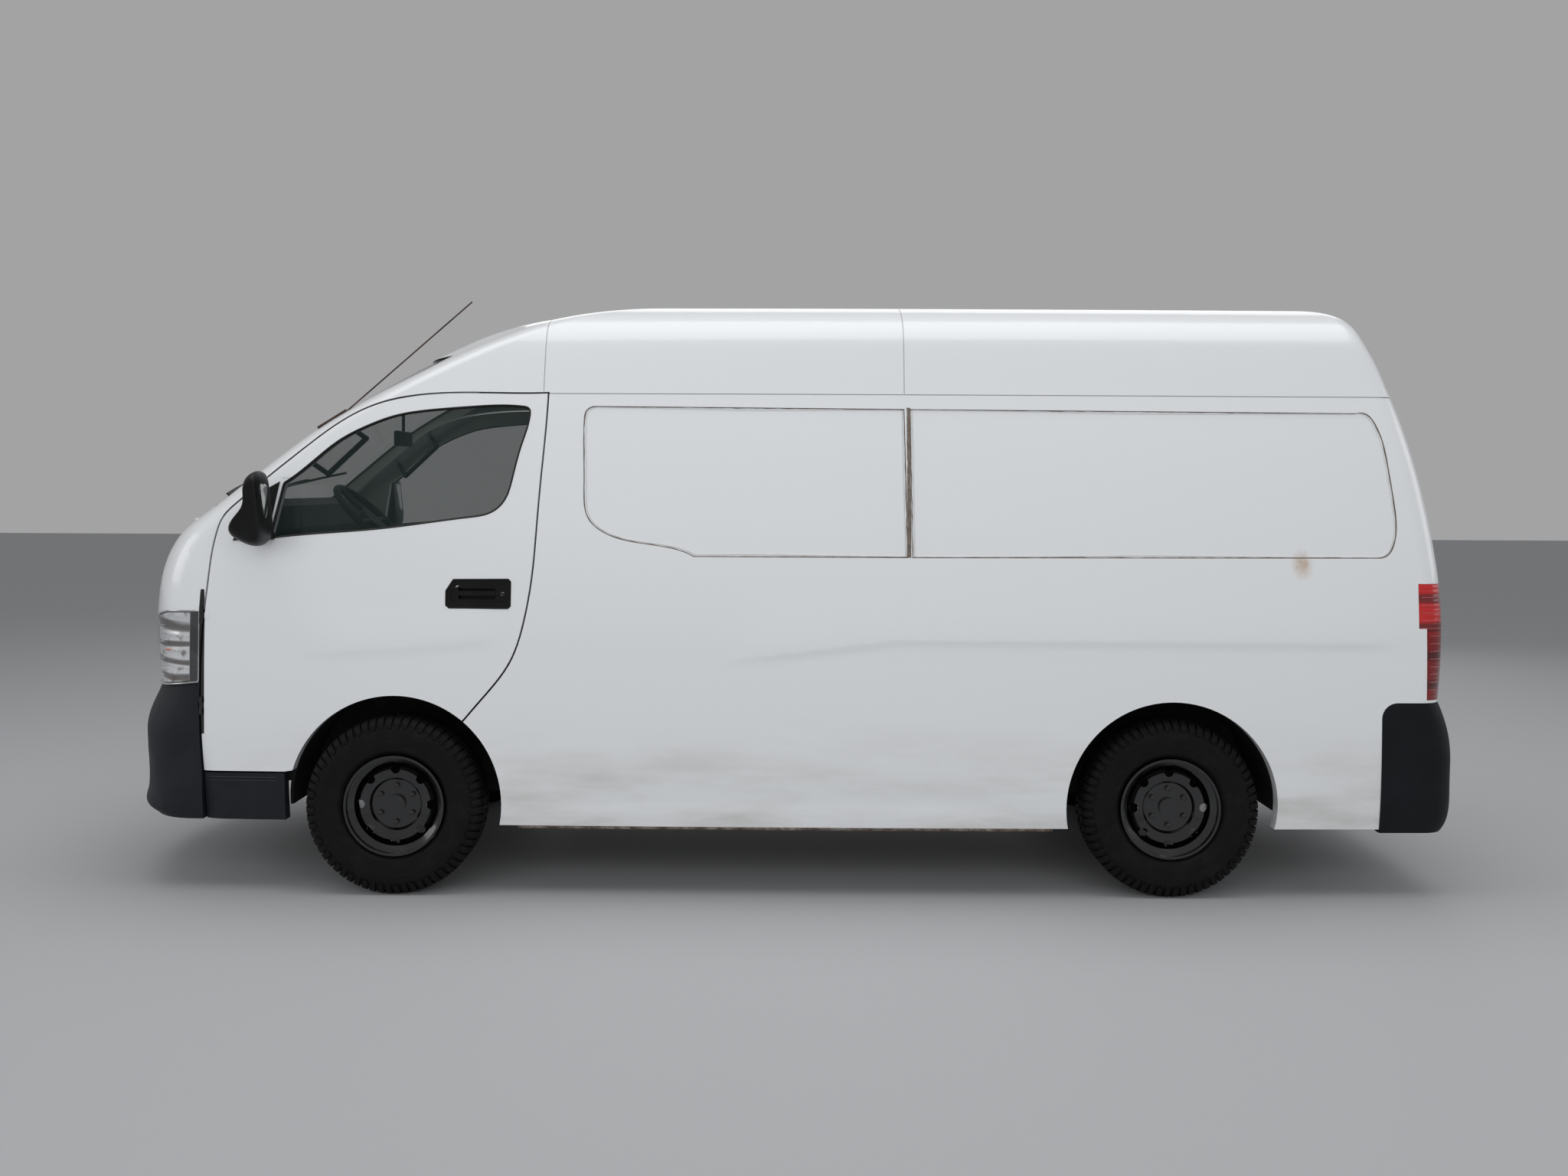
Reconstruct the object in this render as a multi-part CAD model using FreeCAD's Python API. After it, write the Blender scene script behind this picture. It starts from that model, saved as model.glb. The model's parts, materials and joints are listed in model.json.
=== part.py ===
import FreeCAD, Part
import functools
import math
import os

from FreeCAD import Vector

# A long-wheelbase, high-roof panel van with a short nose, blanked side windows, two front doors, one sliding
# side door on the right and a lift-up tailgate. Millimetres. The nose points to -X, the van's left side faces
# -Y, and the tyres stand on z = 0. A table of shares holds places as fractions of the size that it follows.

# Overall sizes
length = 5230.0
width = 1880.0
height = 2285.0
wheelbase = 2940.0
front_overhang = 1165.0
front_track = 1655.0
rear_track = 1640.0
sill_height = 263.0

# Working values
overrun = 60.0  # how far a cutting tool reaches past what it cuts
fit_gap = 0.4  # clearance between pieces that lie against each other
lining_gap = 0.9  # between the load floor and the side walls
shaft_clearance = 0.08  # radial clearance of a turning fit
edge_near = 1.0  # how near an edge has to be to a plane to belong to it

# Body walls and gaps
wall = 55.0  # side walls, roof and doors, skin to lining
front_wall = 100.0  # the front panel, which holds the lamps, the grille and the bonnet
tailgate_depth = 64.0  # along the van
door_gap = 7.0
seam_width = 4.0
seam_depth = 7.0
glass_thickness = 5.0
glass_recess = 5.0
blank_thickness = 7.0
blank_recess = 6.0
lamp_depth = 70.0
lamp_end_gap = 10.0  # between a headlamp and the front edge of the door
tail_lamp_depth = 35.0
grille_depth = 45.0
grille_recess = 3.0
bumper_wall = 40.0
bonnet_thickness = 22.0
bonnet_pocket = 80.0
side_inner = 200.0  # how far from the middle a side's cutting tools start

# Wheels: 195 wide tyres on 15-inch pressed steel rims with six lug nuts
tyre_radius = 336.0
tyre_width = 195.0
bead_radius = 190.0
rim_width = 160.0
rim_metal = 9.0
rim_well_depth = 22.0
disc_metal = 10.0
disc_offset = 38.0  # middle of the wheel to the outer face of its disc
disc_crown = 14.0  # how far the ring with the vents stands out
disc_lip = 22.0  # how far the disc's edge lies behind its face
boss_seat = 6.0  # how far the bolted face lies behind the disc's face
boss_length = 70.0
hub_radius = 56.0
hub_cap_radius = 35.0
hub_cap_length = 16.0
stud_circle = 139.7
lug_count = 6
lug_radius = 11.0
lug_length = 16.0
vent_count = 8
vent_radius = 17.0
spindle_radius = 20.0
spindle_end = 13.0  # how far a spindle ends behind the disc's face
tyre_row_shares = [(0.565, 0.31), (0.62, 0.44), (0.78, 0.50), (0.90, 0.485), (0.965, 0.43), (1.0, 0.33)]
rim_row_shares = [(0.0, -1.0), (0.0, -0.72), (1.0, -0.52), (1.0, 0.35), (0.0, 0.62), (0.0, 1.0)]
vent_circle_share = 0.80  # of the radius of the rim's well

# Wheel arches
front_arch_radius = 407.0
rear_arch_radius = 400.0
arch_centre_height = 346.0
arch_liner = 12.0
arch_inner_y = 530.0  # from the middle of the van to the arch's inner wall
liner_base = 323.0

# Steering
kingpin_inset = 70.0  # middle of the front wheel to its kingpin
kingpin_radius = 9.0
kingpin_height = 250.0
upright_radius = 26.0
upright_length = 210.0
steer_arm_length = 130.0
steer_arm_inset = 20.0
steer_arm_drop = 40.0
steer_arm_radius = 13.0

# Front suspension
member_length = 140.0
member_base = 230.0
member_height = 70.0
tower_length = 120.0
link_height = 18.0
link_length = 44.0
link_eye_wall = 14.0

# Rear axle and springs
axle_tube_radius = 38.0
axle_tube_inset = 40.0
differential_radius = 125.0
drum_radius = 128.0
drum_length = 48.0
drum_inset = 88.0
spring_span = 1200.0
spring_y = 450.0
spring_width = 60.0
spring_rise = 95.0
leaf_height = 9.0
leaf_count = 4
leaf_step_share = 0.2  # how much shorter each lower leaf is
shackle_length = 50.0
shackle_inset = 5.0
axle_slot_room = 30.0  # between the rear axle and the opening in its wheel housing
link_slot_room = 10.0

# Floor and chassis
footwell_height = 480.0
seat_floor_height = 800.0
load_floor_height = 640.0
floor_thickness = 25.0
rail_inner_y = 415.0
rail_width = 70.0
rail_depth = 105.0
cross_depth = 60.0
cross_width = 80.0
cross_bite = 5.0  # how far a crossmember reaches into the rails
bracket_inset = 20.0
sill_link_depth = 30.0
footwell_front_share = 0.052
seat_floor_end_share = 0.301
rear_sill_start_share = 0.93
rear_sill_half_shares = (0.80, 0.75)
bracket_half_share = 0.84
bracket_base_share = 0.14
rail_top_shares = [(0.050, 0.199), (0.148, 0.199), (0.187, 0.269), (0.950, 0.269)]
cross_place_shares = [0.062, 0.14, 0.335, 0.47, 0.60, 0.695, 0.86, 0.932]

# Engine, drive line, exhaust and tank
engine_clearance = 60.0
engine_base = 335.0
engine_shares = (0.17, 0.315)  # its ends, of the length
engine_half_share = 0.32
shaft_radius = 34.0
shaft_front_height = 400.0
pipe_radius = 24.0
silencer_radius = 85.0
pipe_height = 430.0
hanger_width = 16.0
pipe_shares = (0.36, 0.66)
silencer_shares = (0.42, 0.53)
hanger_shares = (0.38, 0.63)
pipe_side_share = 0.66
tank_base = 330.0
tank_round = 30.0
tank_rail_gap = 12.0
tank_shares = (0.40, 0.58)
tank_side_share = 0.88
spare_height = 428.0
spare_rod_radius = 14.0
spare_share = 0.895

# Hinges
hinge_radius = 6.0
hinge_pin_radius = 3.2
hinge_length = 66.0
hinge_leaf = 26.0
hinge_metal = 4.0
hinge_room = 11.0
door_leaf_set_off = 4.6
bonnet_leaf = 42.0
bonnet_hinge_room = 26.0
bonnet_arm_rise_share = 0.27  # how steeply the bonnet's fixed arms run back
bonnet_arm_bite = 22.0
door_hinge_shares = (0.310, 0.460)
bonnet_hinge_share = 0.447
tailgate_hinge_share = 0.27

# Door mirrors
mirror_head_width = 165.0
mirror_stand_off = 62.0
mirror_arm_reach = 70.0
mirror_arm_root = 33.0
sail_proud = 4.0
mirror_slice_shares = [(0.0, 0.72), (0.07, 0.90), (0.30, 1.0), (0.75, 0.97), (0.94, 0.84), (1.0, 0.60)]
mirror_arm_shares = (0.1190, 0.1330, 0.5862, 0.5980)

# Door handles
handle_depth = 30.0
handle_floor = 6.0
handle_proud = 2.0
handle_dish_shares = (0.2690, 0.2960, 0.4900, 0.5080)
handle_bar_shares = (0.4960, 0.5035)
slider_handle_shift_share = 0.087  # from the front door's handle to the sliding door's

# Tailgate handle and plate recess, which stays bare
tail_grip_proud = 16.0
plate_recess = 5.0
tail_grip_shares = (0.26, 0.449, 0.466)
plate_shares = (0.30, 0.372, 0.440)

# Sliding door's rail
slide_rail_depth = 22.0
slide_rail_height = 18.0
slide_rail_shares = (0.5898, 0.945, 0.492)

# Bumpers and lamps
bumper_corner_round = 60.0
intake_height = 34.0
fog_radius = 48.0
fog_sink = 6.0
intake_shares = (0.165, 0.192, 0.219)
intake_half_share = 0.44
fog_shares = (0.72, 0.245)
bumper_bow_share = 0.13
bumper_corner_share = 0.25
bumper_core_share = 0.03

# Grille
slat_count = 5
slat_stile = 14.0
slat_post = 8.0
slat_back = 8.0
slat_start_share = 0.3
slat_room_share = 0.5

# Inside of the cab
column_length = 540.0
column_radius = 24.0
driver_y = -420.0
wheel_ring_radius = 190.0
wheel_rim_radius = 14.0
wheel_boss_radius = 62.0
wheel_boss_height = 42.0
wheel_boss_front = 12.0
wheel_spoke_radius = 11.0
column_rise_share = 1.0258  # rise of the steering column for each unit that it runs back
steering_wheel_shares = (0.1818, 0.614)
dashboard_shares = [
    (0.045, 0.435), (0.118, 0.435), (0.123, 0.60), (0.120, 0.640), (0.108, 0.652), (0.045, 0.640),
]
seat_inner_y = 180.0
seat_outer_y = 700.0
bench_inner_y = -150.0
seat_base_inset = 30.0
seat_base_height = 90.0
cushion_height = 140.0
cushion_round = 35.0
back_height = 410.0
back_round = 30.0
seat_base_shares = (0.175, 0.280)
cushion_shares = (0.170, 0.285)
back_shares = (0.262, 0.287, 0.305, 0.285)

# Small cab fittings and the aerial
mirror_stem_radius = 7.0
inner_mirror_depth = 25.0
inner_mirror_half = 120.0
inner_mirror_rise = 32.0
inner_mirror_round = 8.0
grip_radius = 11.0
grip_foot_radius = 10.0
grip_stand_off = 22.0
grip_foot_reach = 90.0
inner_mirror_shares = (0.1834, 0.766)
grip_end_shares = [(0.1545, 0.706), (0.1830, 0.768)]
grip_side_share = 0.665
grip_lean_share = 0.61  # how far a grip's foot runs forward and up for each unit outwards
aerial_base_radius = 9.0
aerial_mast_radius = 3.0
aerial_side_share = 0.70
aerial_base_shares = (0.7746, 0.8053)
aerial_tip_shares = (0.2683, 0.9943)

nose_x = -length / 2
tail_x = length / 2
far_y = width / 2 + overrun
far_z = height + overrun
front_axle_x = nose_x + front_overhang
rear_axle_x = front_axle_x + wheelbase
front_wheel_y = front_track / 2
rear_wheel_y = rear_track / 2
kingpin_y = front_wheel_y - kingpin_inset
axis_y = Vector(0, 1, 0)
axis_z = Vector(0, 0, 1)
forward = Vector(-1, 0, 0)
backward = Vector(1, 0, 0)
downward = Vector(0, 0, -1)
upward = Vector(0, 0, 1)

# Form of the body: one row for each level, from the sill to the top of the roof. The columns are the height,
# as a share of the van's height; the set-back of the nose and of the tail, as shares of its length; the half
# width, as a share of half its width; and the bow and the corner size of the nose, as shares of that half
# width.
body_level_shares = [
    (0.1151, 0.0335, 0.0220, 0.9702, 0.130, 0.25),
    (0.1575, 0.0306, 0.0182, 0.9851, 0.130, 0.25),
    (0.2101, 0.0258, 0.0153, 0.9947, 0.130, 0.25),
    (0.2713, 0.0182, 0.0124, 0.9989, 0.130, 0.25),
    (0.3326, 0.0113, 0.0094, 1.0000, 0.130, 0.25),
    (0.3939, 0.0082, 0.0075, 1.0000, 0.130, 0.25),
    (0.4551, 0.0082, 0.0067, 0.9957, 0.130, 0.25),
    (0.4989, 0.0099, 0.0075, 0.9894, 0.130, 0.245),
    (0.5383, 0.0138, 0.0090, 0.9819, 0.132, 0.235),
    (0.5733, 0.0205, 0.0109, 0.9723, 0.136, 0.22),
    (0.6018, 0.0302, 0.0126, 0.9638, 0.142, 0.20),
    (0.6258, 0.0430, 0.0143, 0.9553, 0.150, 0.18),
    (0.6652, 0.0642, 0.0174, 0.9404, 0.160, 0.16),
    (0.7177, 0.0925, 0.0224, 0.9202, 0.170, 0.15),
    (0.7702, 0.1214, 0.0285, 0.8968, 0.180, 0.15),
    (0.8096, 0.1459, 0.0338, 0.8766, 0.190, 0.16),
    (0.8446, 0.1704, 0.0392, 0.8574, 0.200, 0.18),
    (0.8796, 0.1952, 0.0449, 0.8404, 0.215, 0.21),
    (0.9125, 0.2205, 0.0514, 0.8234, 0.230, 0.24),
    (0.9300, 0.2354, 0.0553, 0.8106, 0.240, 0.26),
    (0.9480, 0.2515, 0.0585, 0.7800, 0.250, 0.28),
    (0.9650, 0.2710, 0.0625, 0.7300, 0.260, 0.30),
    (0.9800, 0.2960, 0.0685, 0.6560, 0.270, 0.33),
    (0.9910, 0.3260, 0.0770, 0.5600, 0.280, 0.36),
    (0.9975, 0.3560, 0.0880, 0.4500, 0.290, 0.38),
    (1.0000, 0.3860, 0.1000, 0.3300, 0.300, 0.40),
]
nose_taper_share = 0.065  # how much narrower the body is at the nose corner
tail_taper_share = 0.023
tail_bow_share = 0.045
tail_corner_share = 0.10
corner_tension_share = 0.56  # length of a corner's handles
bow_handle_share = 1 / 3  # place of the handles of a bowed side
steepest_shift_share = 2.6  # limit of the sideways shift of a sloping wall
lean_step_share = 0.004  # height step over which a wall's lean is measured

# Outlines of the doors, windows and panels. In the side view the shares are of the length, from the nose, and
# of the height; in the end view they are of half the width, from the middle, and of the height.
door_shares = [
    (0.0828, 0.2013), (0.0813, 0.3479), (0.0837, 0.4674), (0.0860, 0.5217), (0.0880, 0.5663),
    (0.0908, 0.5996), (0.0946, 0.6236), (0.1033, 0.6455), (0.1543, 0.7453), (0.1784, 0.7869),
    (0.2059, 0.8166), (0.2317, 0.8289), (0.2748, 0.8337), (0.3291, 0.8337), (0.3279, 0.7584),
    (0.3256, 0.6801), (0.3237, 0.6031), (0.3212, 0.5256), (0.3163, 0.4578), (0.3059, 0.3864),
    (0.2891, 0.3344), (0.2732, 0.2919), (0.2514, 0.2451), (0.1424, 0.2013),
]
door_corners = [0, 13, 21, 22, 23]
door_glass_shares = [
    (0.1294, 0.5882), (0.2094, 0.6048), (0.2757, 0.6249), (0.2916, 0.6337), (0.3002, 0.6521),
    (0.3055, 0.6875), (0.3115, 0.7462), (0.3168, 0.7943), (0.3161, 0.8074), (0.3107, 0.8114),
    (0.2759, 0.8109), (0.2417, 0.8044), (0.2161, 0.7943), (0.1971, 0.7781), (0.1765, 0.7527),
    (0.1560, 0.7133), (0.1373, 0.6801),
]
door_glass_corners = [0, 16]
sail_shares = [(0.1276, 0.5860), (0.1023, 0.5840), (0.1160, 0.6590), (0.1345, 0.6830)]
mirror_shares = [
    (0.1172, 0.588), (0.1350, 0.585), (0.1365, 0.625), (0.1340, 0.675), (0.1300, 0.699), (0.1262, 0.695),
    (0.1215, 0.640),
]
handle_shares = [
    (0.2620, 0.4835), (0.3040, 0.4835), (0.3055, 0.4990), (0.3040, 0.5145), (0.2720, 0.5145), (0.2620, 0.5040),
]
front_blank_shares = [
    (0.3566, 0.7877), (0.3576, 0.8031), (0.3633, 0.8127), (0.5918, 0.8096), (0.5937, 0.5615),
    (0.4388, 0.5615), (0.4006, 0.5829), (0.3719, 0.6022), (0.3623, 0.6214), (0.3579, 0.6783),
]
front_blank_corners = [2, 3, 4, 5]
rear_blank_shares = [
    (0.5956, 0.8096), (0.9235, 0.8066), (0.9325, 0.8044), (0.9379, 0.7877), (0.9455, 0.7090),
    (0.9484, 0.6477), (0.9470, 0.5908), (0.9426, 0.5711), (0.9333, 0.5641), (0.5966, 0.5615),
]
rear_blank_corners = [0, 1, 8, 9]
tailgate_half_shares = [
    (0.860, 0.2757), (0.865, 0.45), (0.850, 0.60), (0.805, 0.78), (0.745, 0.90), (0.62, 0.958),
]
rear_glass_half_shares = [(0.66, 0.545), (0.70, 0.565), (0.665, 0.78), (0.63, 0.80)]
windscreen_half_shares = [(0.74, 0.640), (0.765, 0.655), (0.655, 0.885), (0.60, 0.905)]
bonnet_half_shares = [(0.53, 0.439), (0.68, 0.462), (0.70, 0.500), (0.66, 0.615)]
grille_half_shares = [(0.505, 0.353), (0.505, 0.430)]
lamp_shares = [(0.535, 0.300), (1.20, 0.300), (1.20, 0.4750), (0.88, 0.4655), (0.535, 0.4360)]
sliding_door_shares = [(0.3355, 0.1445), (0.5898, 0.1445), (0.5898, 0.8215), (0.3355, 0.8215)]
bumper_seam_shares = [(0.0, 0.3290), (0.0105, 0.3290), (0.0818, 0.3488)]
front_bumper_level_shares = [
    (0.1200, 0.0080, 0.972), (0.1300, 0.0020, 0.978), (0.1392, 0.0, 0.982), (0.1480, 0.0010, 0.985),
    (0.1650, 0.0022, 0.988), (0.2200, 0.0016, 0.996), (0.2766, 0.0018, 1.0), (0.3063, 0.0067, 1.0),
    (0.3250, 0.0105, 1.0), (0.3520, 0.0200, 0.998),
]
rear_bumper_level_shares = [
    (0.1094, 0.0060, 0.972), (0.1300, 0.0014, 0.980), (0.1750, 0.0, 0.992), (0.2300, 0.0, 1.0),
    (0.2680, 0.0014, 1.0),
    (0.2980, 0.0048, 1.0), (0.3300, 0.0105, 1.0),
]

cab_front_share = 0.0813  # front edge of the doors
cab_side_rear_share = 0.1213  # where the front panel's side strips end, under the pillars
side_strip_base_share = 0.36
bumper_end_share = 0.0822
step_base_share = 0.1195
step_end_share = 0.1424
door_base_share = 0.2013
side_front_share = 0.272
pillar_rear_share = 0.26
roof_split_share = 0.3262
roof_seam_share = 0.5918
gutter_share = 0.8337
belt_share = 0.6258  # top of the front panel
bumper_height_share = 0.1200
rear_bumper_start_share = 0.9359
rear_bumper_top_share = 0.3260
rear_bumper_step_share = 0.2680
tail_post_share = 0.955
tail_post_half_share = 0.84
tail_opening_share = 0.90  # front end of the tools that cut the tail
tail_lamp_start_share = 0.9627
tail_lamp_lower_start_share = 0.9684
tail_lamp_shares = (0.3308, 0.4490, 0.5225)
door_reach_share = 0.56  # how far towards the middle the doors' cutting tools reach, of half the width




def along(share):
    """Place along the van, from its nose."""
    return nose_x + share * length


def up(share):
    """Height above the ground."""
    return share * height


def across(share):
    """Distance from the middle, as a share of half the width."""
    return share * width / 2


def lerp(rows, column, at):
    """Value of one column of the body table at a height share."""
    if at <= rows[0][0]:
        low, high = rows[0], rows[1]
    elif at >= rows[-1][0]:
        low, high = rows[-2], rows[-1]
    else:
        low, high = next((a, b) for a, b in zip(rows, rows[1:]) if a[0] <= at <= b[0])
    mix = (at - low[0]) / (high[0] - low[0])
    return low[column] + mix * (high[column] - low[column])


def lean(column, size, at):
    """How far a wall leans inwards for each unit of height, at a height share."""
    before = lerp(body_level_shares, column, at - lean_step_share)
    after = lerp(body_level_shares, column, at + lean_step_share)
    return size * (after - before) / (2 * lean_step_share * height)


def cubic(a, b, c, d):
    curve = Part.BezierCurve()
    curve.setPoles([a, b, c, d])
    return curve.toShape()


def plan_outline(z, front, rear, half, bow, corner):
    """Closed outline of the body at one level: bowed nose and tail, rounded corners, barrelled sides."""
    front_half = half * (1 - nose_taper_share)
    rear_half = half * (1 - tail_taper_share)
    tail_bow = half * tail_bow_share
    tail_corner = half * tail_corner_share
    nose_edge = front_half - corner
    tail_edge = rear_half - tail_corner
    side_front = front + bow + corner
    side_rear = rear - tail_bow - tail_corner
    side_swell = half * (1 + (nose_taper_share + tail_taper_share) / 6)
    side_step = (side_rear - side_front) * bow_handle_share

    def one_side(side):
        """The ends of one side's curves, each followed by the handle beside it."""
        return [
            Vector(front + bow, side * nose_edge, z), Vector(front - bow / 3, side * nose_edge / 3, z),
            Vector(side_front, side * front_half, z), Vector(side_front + side_step, side * side_swell, z),
            Vector(side_rear - side_step, side * side_swell, z), Vector(side_rear, side * rear_half, z),
            Vector(rear - tail_bow, side * tail_edge, z), Vector(rear + tail_bow / 3, side * tail_edge / 3, z),
        ]

    def corner_edge(start, start_back, end, end_back, size):
        """Rounded corner whose ends run on from the curves beside it."""
        first = start + (start - start_back).normalize() * (size * corner_tension_share)
        last = end + (end - end_back).normalize() * (size * corner_tension_share)
        return cubic(start, first, last, end)

    left, right = one_side(-1), one_side(1)
    return Part.Wire([
        cubic(right[0], right[1], left[1], left[0]),
        corner_edge(left[0], left[1], left[2], left[3], corner),
        cubic(left[2], left[3], left[4], left[5]),
        corner_edge(left[5], left[4], left[6], left[7], tail_corner),
        cubic(left[6], left[7], right[7], right[6]),
        corner_edge(right[6], right[7], right[5], right[4], tail_corner),
        cubic(right[5], right[4], right[3], right[2]),
        corner_edge(right[2], right[3], right[0], right[1], corner),
    ])


@functools.cache
def hull(inset=0.0, open_below=False):
    """The body's outer form, or the same form set in by a wall thickness."""
    outlines = []
    for row in body_level_shares:
        at, half = row[0], across(row[3])
        side_lean = -lean(3, width / 2, at)
        slope = math.hypot(1, side_lean)
        z = up(at) - inset * side_lean / slope
        half -= inset / slope
        level = z / height
        nose_shift = min(math.hypot(1, lean(1, length, level)), steepest_shift_share)
        tail_shift = min(math.hypot(1, lean(2, length, level)), steepest_shift_share)
        front = along(lerp(body_level_shares, 1, level)) + inset * nose_shift
        rear = tail_x - length * lerp(body_level_shares, 2, level) - inset * tail_shift
        bow = row[4] * half
        corner = row[5] * half
        if open_below and not outlines:
            outlines.append(plan_outline(z - overrun, front, rear, half, bow, corner))
        outlines.append(plan_outline(z, front, rear, half, bow, corner))
    return Part.makeLoft(outlines, True, False, False)


def box(x0, x1, y0, y1, z0, z1):
    """Block between three pairs of planes."""
    return Part.makeBox(x1 - x0, y1 - y0, z1 - z0, Vector(x0, y0, z0))


def rod(start, end, radius):
    """Round bar between two points."""
    return Part.makeCylinder(radius, (end - start).Length, start, end - start)


def mirrored(shape):
    """The same piece on the other side of the van."""
    return shape.mirror(Vector(0, 0, 0), axis_y)


def pair(shape):
    return [shape, mirrored(shape)]


def joined(shapes):
    """One solid from pieces that overlap or touch."""
    return shapes[0].multiFuse(shapes[1:]).removeSplitter()


def side_points(shares):
    """Places in the side view, from shares of the length and the height."""
    return [(along(a), up(b)) for a, b in shares]


def end_points(shares):
    """Places in the end view, from shares of half the width and the height."""
    return [(across(a), up(b)) for a, b in shares]


def grown(points, amount):
    """The outline moved outwards, worked out at each point from the two sides that meet there."""
    turns = [a[0] * b[1] - b[0] * a[1] for a, b in zip(points, points[1:] + points[:1])]
    outward = math.copysign(1, sum(turns))
    moved = []
    for before, here, after in zip(points[-1:] + points[:-1], points, points[1:] + points[:1]):
        one = Vector(here[0] - before[0], here[1] - before[1], 0).normalize()
        two = Vector(after[0] - here[0], after[1] - here[1], 0).normalize()
        one_out = Vector(one.y, -one.x, 0) * outward
        two_out = Vector(two.y, -two.x, 0) * outward
        bisector = (one_out + two_out).normalize()
        reach = amount / bisector.dot(one_out)
        moved.append((here[0] + bisector.x * reach, here[1] + bisector.y * reach))
    return moved


def smooth_wire(points, corners, place):
    """Closed wire: straight between neighbouring corners, smooth through the points of a longer run."""
    corners = corners or list(range(len(points)))
    edges = []
    count = len(points)
    for first, last in zip(corners, corners[1:] + [corners[0] + count]):
        run = [place(*points[index % count]) for index in range(first, last + 1)]
        if len(run) == 2:
            edges.append(Part.makeLine(run[0], run[1]))
        else:
            curve = Part.BSplineCurve()
            curve.interpolate(run)
            edges.append(curve.toShape())
    return Part.Wire(edges)


def side_prism(points, y0, y1, corners=None):
    """Side-view outline carried across the van from y0 to y1."""
    wire = smooth_wire(points, corners, lambda x, z: Vector(x, y0, z))
    return Part.Face(wire).extrude(Vector(0, y1 - y0, 0))


def end_prism(points, x0, x1):
    """End-view outline carried along the van from x0 to x1."""
    wire = smooth_wire(points, None, lambda y, z: Vector(x0, y, z))
    return Part.Face(wire).extrude(Vector(x1 - x0, 0, 0))


def ring(rows, middle):
    """Solid of revolution about a line along Y through the middle. The rows are radius and place along Y."""
    wire = Part.makePolygon([Vector(middle.x, middle.y + y, middle.z + r) for r, y in rows + rows[:1]])
    return Part.Face(wire).revolve(middle, axis_y, 360)


def both_halves(half_shares):
    """Full outline in the end view, from the points of its right half."""
    right = end_points(half_shares)
    left = [(-y, z) for y, z in reversed(right)]
    return right + left


body_form = hull()
cabin_form = hull(wall, True)
front_cabin_form = hull(front_wall, True)
seam_form = hull(seam_depth)
shell = body_form.cut(cabin_form)
front_shell = body_form.cut(front_cabin_form)
tail_shell = body_form.cut(body_form.translated(forward * tailgate_depth))
blank_pocket_form = hull(blank_recess + blank_thickness + fit_gap, True)


def skin_x(y, z, side):
    """Where a line along the van meets the body's outer form, at the nose (-1) or the tail (1)."""
    line = Part.makeLine(Vector(nose_x - overrun, y, z), Vector(tail_x + overrun, y, z))
    bounds = body_form.common(line).BoundBox
    return bounds.XMin if side < 0 else bounds.XMax


def skin_y(x, z):
    """How far from the middle the body's outer form is, at a place in the side view."""
    line = Part.makeLine(Vector(x, 0, z), Vector(x, width, z))
    return body_form.common(line).BoundBox.YMax


def arches():
    """Everything inside the four wheel arches, as far in as their liners."""
    cuts = []
    for x, radius in ((front_axle_x, front_arch_radius), (rear_axle_x, rear_arch_radius)):
        start = Vector(x, arch_inner_y, arch_centre_height)
        cuts.append(rod(start, Vector(x, far_y, arch_centre_height), radius))
    return Part.makeCompound(cuts + [mirrored(cut) for cut in cuts])


arch_cuts = arches()


def hinge(middle, axis, to_leaf, inward, moving=True, reach=hinge_leaf, set_off=0.0):
    """Half of a three-knuckle hinge: the moving middle knuckle, or the two fixed ones with their pin."""
    half, sixth = hinge_length / 2, hinge_length / 6
    spans = [(fit_gap - sixth, sixth - fit_gap)] if moving else [(-half, -sixth), (sixth, half)]
    pieces = []
    for low, high in spans:
        start = middle + axis * low
        near, far = start + inward * set_off, start + inward * (set_off + hinge_metal)
        leaf = Part.Face(Part.makePolygon([near, near + to_leaf * reach, far + to_leaf * reach, far, near]))
        pieces.append(rod(start, middle + axis * high, hinge_radius).fuse(leaf.extrude(axis * (high - low))))
    if moving:
        bore_radius = hinge_pin_radius + shaft_clearance
        return pieces[0].cut(rod(middle - axis * half, middle + axis * half, bore_radius))
    return rod(middle - axis * half, middle + axis * half, hinge_pin_radius).multiFuse(pieces)


def hinge_relief(middle, axis, radius=hinge_room):
    """Room for a hinge's knuckles."""
    span = hinge_length / 2 + fit_gap
    return rod(middle - axis * span, middle + axis * span, radius)


def hinge_notch(at):
    """Room in the front bumper for a door hinge's fixed leaves."""
    span = hinge_length / 2 + fit_gap
    front, inner = at.x - lamp_end_gap, at.y + front_wall + fit_gap
    return box(front, at.x + overrun, at.y - overrun, inner, at.z - span, at.z + span)


door_axis_x = along(cab_front_share)
door_axis_y = skin_y(door_axis_x, up(door_shares[1][1]))
door_hinges = [Vector(door_axis_x, -door_axis_y, up(at)) for at in door_hinge_shares]
door_reliefs = [relief for at in door_hinges for relief in pair(hinge_relief(at, axis_z))]
bonnet_hinge_y = across(bonnet_hinge_share)
bonnet_axis_z = up(bonnet_half_shares[-1][1])
bonnet_axis_x = skin_x(bonnet_hinge_y, bonnet_axis_z, -1)
bonnet_hinges = [Vector(bonnet_axis_x, side * bonnet_hinge_y, bonnet_axis_z) for side in (-1, 1)]
cowl_radius = bonnet_axis_x - skin_x(0, bonnet_axis_z, -1) + door_gap
tailgate_hinge_y = across(tailgate_hinge_share)
tailgate_axis_z = up(tailgate_half_shares[-1][1])
tailgate_axis_x = skin_x(0, tailgate_axis_z, 1)
tailgate_hinges = [Vector(tailgate_axis_x, side * tailgate_hinge_y, tailgate_axis_z) for side in (-1, 1)]


def cowl_trough():
    """Channel below the windscreen, which the bonnet's bowed rear edge swings up through."""
    reach = across(bonnet_half_shares[-1][0]) + door_gap
    middle = Vector(bonnet_axis_x, 0, bonnet_axis_z)
    return rod(middle - axis_y * reach, middle + axis_y * reach, cowl_radius)


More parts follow.
